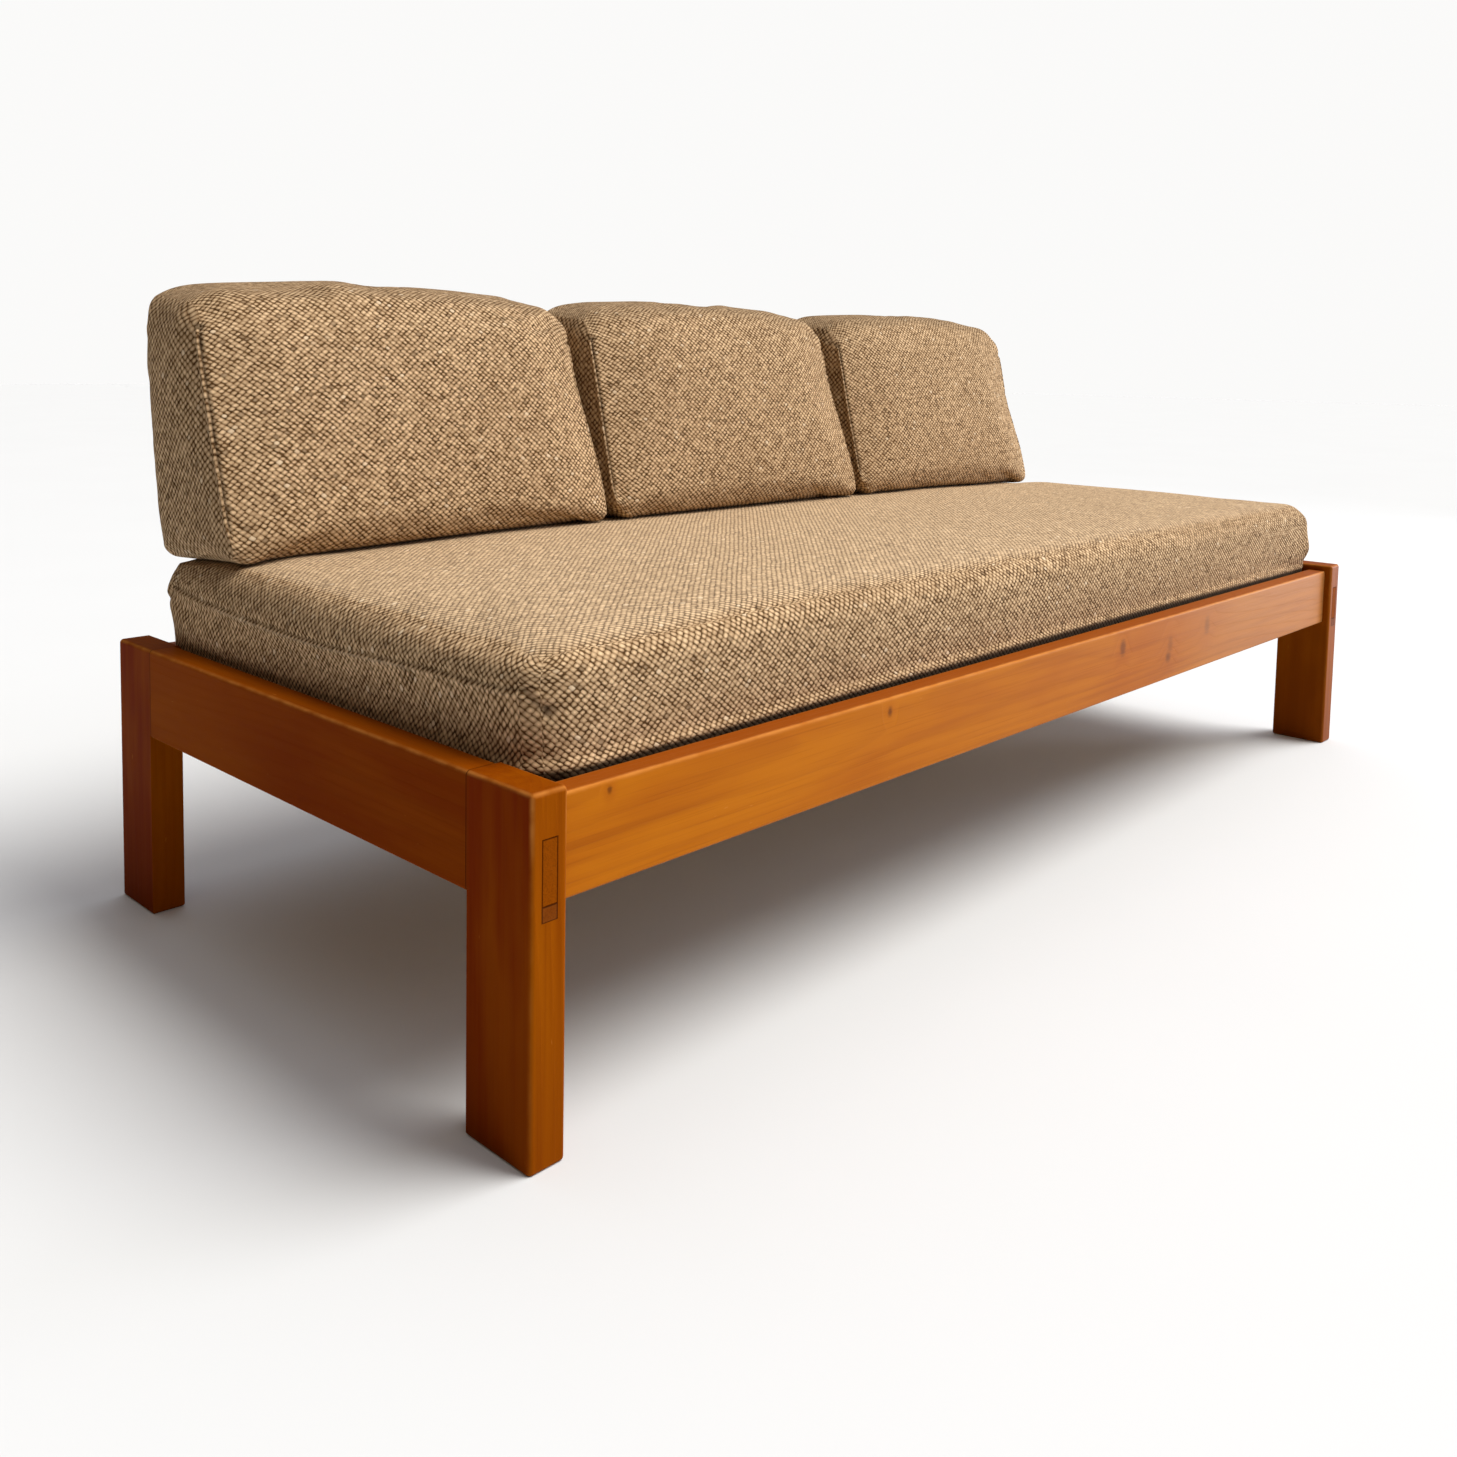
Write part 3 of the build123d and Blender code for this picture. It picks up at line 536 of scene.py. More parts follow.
def softened_box(points, low, high, radii_low, radii_high):
    """Moves the points of a box's skin onto the box with its edges and corners rounded."""
    core = np.clip(points, low + radii_low, high - radii_high)
    away = points - core
    radius = np.where(away < 0.0, radii_low, radii_high)
    unit = away / radius
    length = np.maximum(np.linalg.norm(unit, axis=1, keepdims=True), 1e-9)
    return core + unit / length * radius


def eased(values, low, high, radius_low, radius_high):
    """Distances along the cover in place of those along the square block, where its edges are rounded."""
    start = low + radius_low
    end = high - radius_high
    under = np.arctan(np.maximum(start - values, 0.0) / radius_low) * radius_low
    over = np.arctan(np.maximum(values - end, 0.0) / radius_high) * radius_high
    return np.clip(values, start, end) - under + over


def paced_lengths(flat, shaped):
    """Each point's distance along the cover from its middle, measured in the x direction over the shaped surface."""
    order = np.lexsort((flat[:, 0], np.round(flat[:, 1], 6), np.round(flat[:, 2], 6)))
    sorted_flat, sorted_shape = flat[order], shaped[order]
    steps = np.linalg.norm(np.diff(sorted_shape, axis=0), axis=1)
    starts = np.any(np.abs(np.diff(sorted_flat[:, 1:], axis=0)) > 1e-6, axis=1)
    lengths = np.empty(len(flat))
    first = 0
    middle = (flat[:, 0].min() + flat[:, 0].max()) / 2
    for last in [*np.nonzero(starts)[0], len(flat) - 1]:
        run = np.concatenate(([0.0], np.cumsum(steps[first:last])))
        run += middle - np.interp(middle, sorted_flat[first : last + 1, 0], run)
        lengths[order[first : last + 1]] = run
        first = last + 1
    return lengths


def lay_weave(mesh, flat, paced, stretch, lean=0.0, gusset=None):
    """Unrolls the cover for its weave: front, top, back and foot are one strip, and the ends join it or lie alone."""
    layer = mesh.uv_layers.new(name="weave")
    low, high = flat.min(axis=0), flat.max(axis=0)
    start, end = paced.min(axis=0), paced.max(axis=0)
    for face in mesh.polygons:
        corners = flat[list(face.vertices)]
        at_low = np.abs(corners - low).max(axis=0) < 1e-7
        at_high = np.abs(corners - high).max(axis=0) < 1e-7
        for loop, index in zip(face.loop_indices, face.vertices):
            x, y, z = paced[index]
            drop = end[2] - z
            if at_high[2]:
                spot = (x, y)
            elif at_low[1]:
                spot = (x - lean * drop, start[1] - drop)
            elif at_high[1]:
                spot = (x, end[1] + drop)
            elif at_low[2]:
                spot = (x, 2 * start[1] - (end[2] - start[2]) - y)
            elif gusset is not None:
                spot = (gusset[index][2] / stretch, 0.87 * gusset[index][1] + flat[index][0])
            elif corners[:, 1].max() < low[1] + 0.0285:
                turned = y - start[1]
                spot = ((start[0] - turned if at_low[0] else end[0] + turned) - lean * drop, start[1] - drop)
            elif at_low[0]:
                spot = (start[0] - drop, y)
            else:
                spot = (end[0] + drop, y)
            layer.data[loop].uv = (spot[0] * stretch, spot[1])


def swell(pieces, settings, limit):
    """Blows the covers up with cloth simulation, one run for all of them, each point held within the limit."""
    scene = bpy.context.scene
    for piece, held in pieces:
        hold = piece.vertex_groups.new(name="held")
        for index in np.nonzero(held > 0.0)[0]:
            hold.add([int(index)], float(held[index]), "REPLACE")
        cloth = piece.modifiers.new("swell", "CLOTH")
        cloth.settings.quality = 5
        cloth.settings.use_pressure = True
        cloth.settings.uniform_pressure_force = settings.swell
        cloth.settings.effector_weights.gravity = 0.0
        cloth.settings.vertex_group_mass = hold.name
        cloth.collision_settings.use_collision = False
        cloth.point_cache.frame_start = 1
        cloth.point_cache.frame_end = settings.swell_frames
    for step in range(1, settings.swell_frames + 1):
        scene.frame_set(step)
    graph = bpy.context.evaluated_depsgraph_get()
    for piece, _ in pieces:
        start = mesh_points(piece.data)
        move = mesh_points(piece.evaluated_get(graph).data) - start
        size = np.linalg.norm(move, axis=1, keepdims=True)
        move *= np.minimum(1.0, limit / np.maximum(size, 1e-9))
        piece.modifiers.clear()
        piece.vertex_groups.clear()
        set_points(piece.data, start + move)
    scene.frame_set(1)


def mesh_points(mesh, kind="co"):
    """The places of a mesh's points, or their normals."""
    values = np.empty(len(mesh.vertices) * 3)
    mesh.vertices.foreach_get(kind, values)
    return values.reshape(-1, 3)


def set_points(mesh, points):
    mesh.vertices.foreach_set("co", np.asarray(points).ravel())
    mesh.update()


def paint_shade_and_light(mesh, depth):
    """Keeps each point's painted shade and light: 1 is full painted shade, as deep in a seam where no light gets in,
    below 0 is painted light that lightens the cloth.
    """
    layer = mesh.attributes.new(name="painted_shade_and_light", type="FLOAT", domain="POINT")
    layer.data.foreach_set("value", np.clip(depth, -1.0, 1.0))


def sewn_piece(name, block, material):
    """Turns a finished block into a smooth-shaded object in the scene."""
    mesh = bpy.data.meshes.new(name)
    block.to_mesh(mesh)
    block.free()
    mesh.shade_smooth()
    mesh.materials.append(material)
    piece = bpy.data.objects.new(name, mesh)
    bpy.context.scene.collection.objects.link(piece)
    return piece


def hand_over(piece, body):
    """Rounds a sewn piece and puts it in place of the cover and the foam of its body."""
    rounding = piece.modifiers.new("rounding", "SUBSURF")
    rounding.levels = 1
    rounding.render_levels = 1
    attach(piece, body)
    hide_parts(f"{body}_cover", f"{body}_foam")


def dress(nodes, material):
    for name in nodes:
        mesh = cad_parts[name].data
        mesh.materials.clear()
        mesh.materials.append(material)


def nodes_named(*starts):
    found = [name for name in sorted(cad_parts) if name.startswith(starts)]
    if not found:
        raise RuntimeError(f"the frame has no node whose name starts with {starts}")
    return found


def folded_box(nodes):
    """Lowest and highest corners of like pieces, folded onto the +X +Y quarter."""
    boxes = [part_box(name) for name in nodes]
    reach = [max(max(abs(low[a]), abs(high[a])) for low, high in boxes) for a in range(3)]
    start = []
    for axis in range(2):
        spans = any(low[axis] < 0.0 < high[axis] for low, high in boxes)
        nearest = min(min(abs(low[axis]), abs(high[axis])) for low, high in boxes)
        start.append(-reach[axis] if spans else nearest)
    start.append(min(low[2] for low, _ in boxes))
    return start, reach


def lacquer(nodes, name, along, colour, pith, seeds, gloss, **details):
    """Dresses like pieces in one lacquered wood that is worn along the edges of their folded box."""
    low, high = folded_box(nodes)
    if along == "Z":
        low[1] = 0.0
    settings = bpy.context.scene.daybed_wood
    dress(nodes, planed_wood(name, along, colour, settings, (low, high), pith, seeds, gloss, **details))


class DAYBED_OT_frame_wood(bpy.types.Operator):
    """Lacquers the legs, rails and wedges"""

    bl_idname = "daybed.frame_wood"
    bl_label = "Frame wood"

    def execute(self, context):
        wood = context.scene.daybed_wood
        legs = nodes_named("leg_")
        # Lit and shaded copies of one lacquer: the left pair takes the darker painted shade on its X faces, the right
        # pair a lighter one with more gloss.
        for end, gloss, heart in (("left", 0.008, (0.58, 0.24, 0.4)), ("right", 0.07, (0.66, 0.60, 0.5))):
            pair = [name for name in legs if name.endswith(end)]
            recipe = (wood.leg, (0.345, 1.075), (3.1, 7.7), gloss)
            lacquer(pair, f"{end}_leg_wood", "Z", *recipe, heart=heart, wear=0.75)
        recipe = (wood.end_rail, (0.17, 1.06), (5.3, 0.0), 0.006)
        details = {"heart": (0.78, 0.56, 0.5), "ends": tuple(wood.tenon), "joints": TENON_JOINTS}
        lacquer(nodes_named("end_rail_"), "end_rail_wood", "Y", *recipe, **details)
        recipe = (wood.rail, (0.335, 0.475), (0.0, 6.4), 0.085)
        lacquer(nodes_named("side_rail_"), "side_rail_wood", "X", *recipe, knots=RAIL_KNOTS)
        recipe = (wood.wedge, (0.2, 1.02), (2.2, 4.1), 0.04)
        details = {"wear": 0.2, "ends": tuple(wood.wedge), "joints": WEDGE_JOINTS}
        lacquer(nodes_named("tenon_wedge_"), "wedge_wood", "Y", *recipe, **details)
        return {"FINISHED"}


class DAYBED_OT_slats(bpy.types.Operator):
    """Gives the slats bare softwood"""

    bl_idname = "daybed.slats"
    bl_label = "Slats"

    def execute(self, context):
        slats = [name for name in nodes_named("slat_") if name != "slat_screws"]
        dress(slats, slat_finish(context.scene.daybed_wood))
        return {"FINISHED"}


class DAYBED_OT_fittings(bpy.types.Operator):
    """Gives the hook plates, catch plates and screws their steel"""

    bl_idname = "daybed.fittings"
    bl_label = "Fittings"

    def execute(self, context):
        steel = metal_finish("drawn_steel", (0.56, 0.55, 0.52), 0.32, "Z")
        dress(nodes_named("hook_plate_", "catch_plate_", "slat_screws", "ledger_screws"), steel)
        return {"FINISHED"}


class DAYBED_OT_zips(bpy.types.Operator):
    """Gives the zips their cotton tapes, brass teeth and brass sliders"""

    bl_idname = "daybed.zips"
    bl_label = "Zips"

    def execute(self, context):
        brass = metal_finish("zip_brass", (0.58, 0.42, 0.18), 0.3, "Z")
        for stem in ("mattress", *(f"cushion_{side}" for side in CUSHIONS)):
            low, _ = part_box(f"{stem}_zip")
            dress([f"{stem}_zip"], zip_finish(f"{stem}_zip_tape", low[1] + ZIP_TAPE_THICKNESS, (0.16, 0.10, 0.05)))
            dress([f"{stem}_zip_slider"], brass)
        return {"FINISHED"}


def tweed_cover():
    return bpy.data.materials.get("hopsack_tweed") or tweed_finish(bpy.context.scene.daybed_tweed)


def edge_sag(x, y):
    """How far the outer cushions sink into the soft ends of the mattress, most at the back corners."""
    to_end = np.abs(x)
    corner = 0.010 * smooth_rise(to_end, 0.870, 0.955) * smooth_rise(y, 0.22, 0.39)
    return 0.005 * smooth_rise(to_end, 0.500, 0.830) + 0.008 * smooth_rise(to_end, 0.850, 0.960) + corner


class DAYBED_OT_mattress(bpy.types.Operator):
    """Makes the mattress in its tweed cover"""

    bl_idname = "daybed.mattress"
    bl_label = "Mattress"
    SEAM_ROW = 0.405

    def execute(self, context):
        settings = context.scene.daybed_cushion
        cad_low, cad_high = (np.array(corner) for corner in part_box("mattress_cover"))
        low = cad_low + (0.001, 0.001, 0.0002)
        high = np.array((cad_high[0] - 0.001, cad_high[1], cad_high[2] - 0.010))
        near = (0.0, 0.003, 0.006, 0.010, 0.015, 0.021, 0.028, 0.036)
        cuts = [stations(low[axis], high[axis], pitch, near) for axis, pitch in enumerate((0.020, 0.018))]
        cuts.append(self.levels(low[2], high[2]))
        piece = sewn_piece("mattress_tweed", gridded_block(cuts), tweed_cover())
        flat = mesh_points(piece.data)
        end_radius = np.where(flat[:, 0] < 0.0, 0.066 - 0.042 * smooth_rise(flat[:, 1], -0.30, 0.20), 0.016)
        front_radius = 0.050 - 0.018 * smooth_rise(flat[:, 0], 0.70, 0.90)
        radii_low = np.stack((end_radius, front_radius, np.full(len(flat), 0.018)), axis=1)
        crisp = smooth_rise(flat[:, 0], 0.85, 0.93) * smooth_rise(flat[:, 1], -0.34, -0.26)
        radii_high = np.stack((end_radius, np.full(len(flat), 0.030), 0.032 - 0.005 * crisp), axis=1)
        lay_weave(piece.data, flat, eased(flat, low, high, radii_low, radii_high), 1.056, lean=0.14)
        points = softened_box(flat, low, high, radii_low, radii_high)
        x, y, z = points.T
        across = np.clip(x / high[0], -1.0, 1.0)
        deep = np.clip((y - (low[1] + high[1]) / 2) / ((high[1] - low[1]) / 2), -1.0, 1.0)
        upper = smooth_rise(z, 0.33, high[2])
        z += 0.008 * (1.0 - across**4) * np.sqrt(1.0 - deep**4) * upper
        z += (0.0012 * lumps(points, 5.0, SAG_SEEDS["mattress"]) - 0.005 * smooth_rise(-x, 0.50, 0.83)) * upper
        middle_height = bell(z, 0.395, 0.045)
        fuller = 0.004 * (1.0 - across**2) + 0.004 * smooth_rise(x, 0.75, 0.92)
        fuller *= middle_height
        fuller += 0.008 * smooth_rise(x, 0.80, 0.95) * bell(z, 0.364, 0.022)
        y -= fuller * (deep < 0.0) * np.abs(deep)
        full_end = np.where(x < 0.0, 0.013 - np.where(deep < 0.0, 0.009, 0.003) * deep**6, 0.018)
        far_belly = smooth_rise(z, 0.338, 0.365) * smooth_rise(z, 0.450, 0.410)
        belly = np.where(x < 0.0, bell(z, 0.402, 0.040), far_belly)
        x += np.sign(x) * full_end * belly * np.abs(across) ** 8
        near_end = smooth_rise(np.abs(flat[:, 0]), high[0] - 0.09, high[0] - 0.01)
        climb = np.where(y > 0.0, 0.018 * (y / 0.355) ** 2, 0.0105 * smooth_rise(y, 0.0, -0.27))
        seam_curve = 0.4010 + climb - self.SEAM_ROW
        z += near_end * seam_curve * bell(flat[:, 2], self.SEAM_ROW, 0.03)
        set_points(piece.data, np.stack((x, y, z), axis=1))
        held = smooth_rise(z, 0.345, 0.330)
        zip_zone = bell(z, MATTRESS_ZIP_Z, 0.02) * (flat[:, 1] > high[1] - 0.001)
        swell([(piece, np.maximum(held, zip_zone))], settings, settings.mattress_swell)
        self.sew(piece, flat, low, high)
        self.seat(piece, cad_high[1])
        hand_over(piece, "mattress")
        return {"FINISHED"}

    def levels(self, bottom, top):
        """Heights at which the cover is divided: close together at the turned-under edge and at the end seam."""
        low_edge = (0.322, 0.326, 0.330, 0.334, 0.338, 0.343, 0.349, 0.357, 0.366)
        seam_gaps = (-30, -25, -20, -15.5, -11, -7.5, -5, -2.5, 0, 2.5, 5, 8, 12, 18)
        seam = [self.SEAM_ROW + gap / 1000 for gap in seam_gaps]
        edge = [top - gap / 1000 for gap in (23, 16, 10.5, 6, 3, 0)]
        return [bottom, bottom + 0.006, bottom + 0.012, *low_edge, *seam, *edge]

    def sew(self, piece, flat, low, high):
        """Presses in the lapped seam across each end and the gathered corner where it meets the front, and paints
        shade and light on the cover.
        """
        points = mesh_points(piece.data)
        normals = mesh_points(piece.data, "normal")
        end_gap = high[0] - np.abs(flat[:, 0])
        side_gap = inset(flat, low, high, 1)
        on_end = end_gap < 1e-6
        row = flat[:, 2] - self.SEAM_ROW
        rough = 1.0 + 0.30 * lumps(points, 45.0, 4.0)
        lap_rows = np.array((-11, -7.5, -5, -2.5, 0, 2.5, 5, 8, 12)) / 1000
        lap_heights = np.array((0, 0.7, 1.7, 2.1, -1.4, -1.8, -0.7, 0.1, 0)) / 1000
        lap = np.interp(row, lap_rows, lap_heights)
        near_end = flat[:, 0] < 0.0
        press = on_end * lap * rough * smooth_rise(side_gap, 0.012, 0.030) * np.where(near_end, 1.0, 0.2)
        from_corner = np.where(on_end, -side_gap, end_gap)
        crease_line = np.interp(from_corner, (-0.030, -0.012, 0.002, 0.020), (0.415, 0.400, 0.389, 0.3885))
        drop = points[:, 2] - crease_line
        in_corner = near_end * smooth_rise(from_corner, -0.036, -0.022) * smooth_rise(from_corner, 0.034, 0.018)
        crease = bell(drop, 0.0, 0.0045) - 0.45 * bell(drop, 0.009, 0.006)
        pocket = bell(from_corner, 0.013, 0.008) * bell(drop, -0.002, 0.007)
        press -= in_corner * (0.0040 * crease + 0.0055 * pocket)
        set_points(piece.data, points + normals * press[:, None])
        # Painted shade: a dark line along the lapped seam, the corner's folds and pocket, a band along the bottom edge
        # just above the rails, and the upper part of the faces turned towards -X.
        line = on_end * bell(row, 0.0012, 0.0018) * smooth_rise(side_gap, 0.012, 0.030)
        folds = in_corner * (0.45 * bell(drop, 0.0, 0.0035) + 0.45 * pocket)
        shadow_edge = 0.3355 + 0.0040 * bell(points[:, 0], 0.15, 0.50)
        under = 0.95 * smooth_rise(points[:, 2], shadow_edge, shadow_edge - 0.0065) * (side_gap < 0.1)
        minus_x_shade = 0.13 * smooth_rise(-normals[:, 0], 0.30, 0.70) * smooth_rise(points[:, 2], 0.395, 0.425)
        dark = np.max((0.36 * line, folds, under, minus_x_shade), axis=0)
        # Painted light: the top faces and the ridge of the lapped seam are lightened.
        ridge = on_end * bell(row, -0.0030, 0.0020) * smooth_rise(side_gap, 0.012, 0.030)
        painted_light_mask = np.maximum(0.17 * smooth_rise(normals[:, 2], 0.80, 0.98), 0.22 * ridge)
        paint_shade_and_light(piece.data, np.where(dark > 0.02, dark, -painted_light_mask))

    def seat(self, piece, back):
        """Keeps the cover off the slats, the rails, the zip and the cushions that stand on it."""
        x, y, z = mesh_points(piece.data).T
        z = np.maximum(z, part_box("mattress_cover")[0][2])
        under_cushions = smooth_rise(y, 0.17, 0.20)
        seat_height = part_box("cushion_left_cover")[0][2] - 0.0004 - edge_sag(x, y)
        z = np.where(under_cushions > 0.0, np.minimum(z, seat_height + 0.004 * (1.0 - under_cushions)), z)
        low_part = smooth_rise(z, 0.356, 0.338)
        x = np.sign(x) * np.minimum(np.abs(x), 0.957 + 0.03 * (1.0 - low_part))
        turned_under = 0.005 * smooth_rise(z, 0.341, 0.327)
        y = np.sign(y) * np.minimum(np.abs(y), 0.3720 + 0.03 * (1.0 - low_part) - turned_under)
        y = np.minimum(y, back)
        set_points(piece.data, np.stack((x, y, z), axis=1))


class DAYBED_OT_back_cushions(bpy.types.Operator):
    """Makes the three wedge cushions along the back"""

    bl_idname = "daybed.back_cushions"
    bl_label = "Back cushions"

    def execute(self, context):
        settings = context.scene.daybed_cushion
        made = [self.cut(name, settings) for name in CUSHIONS]
        pads = [(piece, self.held(flat, low, high)) for piece, flat, low, high in made]
        swell(pads, settings, settings.cushion_swell)
        for name, (piece, flat, low, high) in zip(CUSHIONS, made):
            self.sew(piece, flat, low, high, settings, SAG_SEEDS[name])
            self.seat(piece, flat, low, high, name)
            hand_over(piece, f"cushion_{name}")
        return {"FINISHED"}

    def cut(self, name, settings):
        """Cuts one cushion as a soft-edged wedge, thick at the foot and thin at the top."""
        cad_low, cad_high = (np.array(corner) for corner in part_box(f"cushion_{name}_cover"))
        back = cad_high[1]
        foot = cad_low[2]
        low = np.array((cad_low[0] + 0.001, back - 0.210, foot))
        high = np.array((cad_high[0] - 0.001, back, foot + 0.338))
        near = (0.0, 0.002, 0.0045, 0.0075, 0.012, 0.018, 0.026, 0.036)
        cuts = [stations(low[axis], high[axis], 0.0110, near) for axis in range(3)]
        hook_shares = (0.81, 0.83, 0.845, 0.86, 0.875, 0.89, 0.905, 0.925)
        hook_rows = [low[2] + share * (high[2] - low[2]) for share in hook_shares]
        cuts[2] = [mark for mark in cuts[2] if not hook_rows[0] - 0.005 < mark < hook_rows[-1] + 0.005]
        cuts[2] = sorted(cuts[2] + hook_rows)
        piece = sewn_piece(f"cushion_{name}_tweed", gridded_block(cuts), tweed_cover())
        flat = mesh_points(piece.data)
        points = self.wedge(flat, low, high, settings, name)
        paced = np.array(flat)
        paced[:, 0] = paced_lengths(flat, points)
        paced[:, 1] = eased(flat[:, 1], low[1], high[1], 0.050, 0.026)
        paced[:, 2] = eased(flat[:, 2], low[2], high[2], 0.018, 0.050)
        lay_weave(piece.data, flat, paced, 0.946, gusset=points)
        seed = SAG_SEEDS[name]
        centre = (low[0] + high[0]) / 2
        rise = portion(points[:, 2], foot, high[2])
        points[:, 2] += 0.0022 * lumps(points, 9.0, seed, (1.0, 0.3, 0.3)) * smooth_rise(rise, 0.5, 1.0)
        front = smooth_rise(flat[:, 1], high[1] - 0.05, low[1])
        points[:, 1] += 0.0020 * lumps(points, 8.0, seed + 5.0) * front
        nub, nub_height = {"left": (-0.108, 0.0034), "middle": (0.0, 0.0), "right": (-0.024, 0.0030)}[name]
        points[:, 2] += nub_height * bell(points[:, 0] - centre, nub, 0.032) * smooth_rise(rise, 0.85, 1.0)
        set_points(piece.data, points)
        return piece, flat, low, high

    def wedge(self, flat, low, high, settings, name):
        middle = (low + high) / 2
        half = (high - low) / 2
        x, y, z = self.round_sides(flat, low, high, name).T
        front_half = y < middle[1]
        lower_half = z < middle[2]
        radius = np.where(front_half, np.where(lower_half, 0.018, 0.050), np.where(lower_half, 0.022, 0.026))
        core_y = np.clip(y, low[1] + radius, high[1] - radius)
        core_z = np.clip(z, low[2] + radius, high[2] - radius)
        off_y = (y - core_y) / radius
        off_z = (z - core_z) / radius
        most = np.maximum(np.abs(off_y), np.abs(off_z))
        reach = np.maximum(np.hypot(off_y, off_z), 1e-9)
        y = core_y + off_y * most / reach * radius
        z = core_z + off_z * most / reach * radius
        across = np.clip((x - middle[0]) / half[0], -1.0, 1.0)
        rise = np.clip(portion(z, low[2], high[2]), 0.0, 1.0)
        fore = np.clip(portion(y, high[1], low[1]), 0.0, 1.0)
        y = high[1] - (high[1] - y) * (1.0 - 0.40 * rise)
        y -= settings.front_crown * (1.0 - across**2) * fore * np.sin(np.pi * rise) ** 0.7
        z += settings.top_crown * (1.0 - np.abs(across) ** 2.4) * rise**2
        z -= 0.006 * smooth_rise(np.abs(across), 0.80, 1.0) * rise**2
        z -= 0.016 * fore * rise**3
        outer = {"left": across < 0.0, "middle": across > 2.0, "right": across > 0.0}[name]
        bulge_rows = (0.0, 0.12, 0.20, 0.39, 0.69, 0.84, 1.0)
        bulge = np.interp(rise, bulge_rows, (-0.004, 0.002, 0.005, 0.010, 0.016, 0.016, 0.011))
        bulge *= 1.0 - 0.6 * smooth_rise(fore, 0.70, 1.0)
        pull = settings.side_pull * np.where(across > 0.0, 0.35 + 1.05 * rise, 0.15 + 0.85 * rise**1.3)
        x += np.sign(across) * np.abs(across) ** 4 * np.where(outer, bulge, -pull)
        z -= edge_sag(x, y) * (1.0 - rise) ** 3
        corner_lift = 0.008 if name == "left" else 0.020
        z += corner_lift * smooth_rise(across, -0.88, -1.0) * (1.0 - rise) ** 8 * fore**2
        if name == "right":
            z += 0.016 * smooth_rise(across, 0.90, 1.0) * (1.0 - rise) ** 8
        return np.stack((x, y, z), axis=1)

    def round_sides(self, flat, low, high, name):
        """Rounds the edges between the strip and the two ends: crisp at the left front seam, a roll elsewhere."""
        middle = (low + high) / 2
        half = (high - low) / 2
        x, y, z = flat.T.copy()
        left = x < middle[0]
        rise = portion(z, low[2], high[2])
        if name == "right":
            rolled = 0.040 + 0.050 * smooth_rise(rise, 0.05, 0.60)
        else:
            rolled = 0.012 + 0.055 * smooth_rise(rise, 0.05, 0.75)
        gaps = np.stack((y - low[1], high[2] - z, high[1] - y, z - low[2]))
        seamed = 0.006 + 0.028 * smooth_rise(rise, 0.85, 0.98)
        shoulder = np.where(left, 0.042, 0.078 if name == "right" else 0.058)
        radii = np.stack((np.where(left, seamed, rolled), shoulder, np.full(len(x), 0.022), np.full(len(x), 0.028)))
        weights = np.exp(-gaps / 0.025)
        radius = ((weights * radii).sum(axis=0) / weights.sum(axis=0))[:, None]
        gap = np.stack((inset(flat, low, high, 0), gaps.min(axis=0)), axis=1)
        core = np.maximum(gap, radius)
        unit = (gap - core) / radius
        length = np.maximum(np.linalg.norm(unit, axis=1, keepdims=True), 1e-9)
        largest = np.abs(unit).max(axis=1, keepdims=True)
        inward = core + unit * largest / length * radius - gap
        x += np.where(left, 1.0, -1.0) * inward[:, 0]
        y = middle[1] + (y - middle[1]) * (1.0 - inward[:, 1] / np.maximum(half[1] - gap[:, 1], 1e-4))
        z = middle[2] + (z - middle[2]) * (1.0 - inward[:, 1] / np.maximum(half[2] - gap[:, 1], 1e-4))
        return np.stack((x, y, z), axis=1)

    def held(self, flat, low, high):
        """Where the swelling is held: the foot, the sewn edges and the zip."""
        left, front, foot = (np.abs(flat - low) < 1e-6).T
        right, back, top = (np.abs(flat - high) < 1e-6).T
        end_gap = inset(flat, low, high, 0)
        inside = smooth_rise(end_gap, 0.03, 0.09)
        rest = foot * smooth_rise(inset(flat, low, high, 1), 0.02, 0.05) * inside
        zip_zone = back * bell(flat[:, 2], low[2] + CUSHION_ZIP_HEIGHT, 0.02) * inside
        seams = np.maximum(1.0 * (front & left), 0.6 * (front & right))
        rims = (left | right) * np.maximum(0.5 * top, 0.7 * back)
        return np.max((rest, zip_zone, seams, rims), axis=0)

    def sew(self, piece, flat, low, high, settings, seed):
        """Raises the rolled seams down the front corners, with the cover puckered beside them, and paints shade into
        the seams and onto the tops and the faces turned towards -X.
        """
        points = mesh_points(piece.data)
        normals = mesh_points(piece.data, "normal")
        end_gap = inset(flat, low, high, 0)
        front_gap = flat[:, 1] - low[1]
        rise = portion(flat[:, 2], low[2], high[2])
        on_front = front_gap < 1e-6
        on_side = end_gap < 1e-6
        firm = np.where(flat[:, 0] < (low[0] + high[0]) / 2, 1.0, 0.5)
        along = firm * smooth_rise(rise, 0.07, 0.13) * smooth_rise(rise, 0.89, 0.85)
        rough = lumps(points, 60.0, seed)
        pucker = 0.5 + 1.1 * np.maximum(0.0, lumps(points, 38.0, seed + 2.0))
        steps = np.array((0.0, 2.0, 4.5, 7.5, 12.0, 18.0, 26.0)) / 1000
        roll = settings.seam * np.interp(front_gap, steps, (0.0, 0.75, 1.0, 0.6, -0.45, -0.15, 0.0))
        groove = settings.seam * np.interp(end_gap, steps, (-0.75, -0.6, -0.15, 0.1, 0.05, 0.0, 0.0))
        dent = 0.0020 * pucker * bell(front_gap, 0.0135, 0.005)
        press = along * (on_side * (roll * (1.0 + 0.35 * rough) - dent) + on_front * groove)
        hook = on_front * bell(end_gap, 0.003, 0.006) + on_side * ~on_front * bell(front_gap, 0.004, 0.008)
        press -= 0.0055 * firm * hook * bell(rise, 0.878, 0.016)
        press -= 0.0030 * firm * on_front * bell(end_gap, 0.014, 0.009) * bell(rise, 0.110, 0.022)
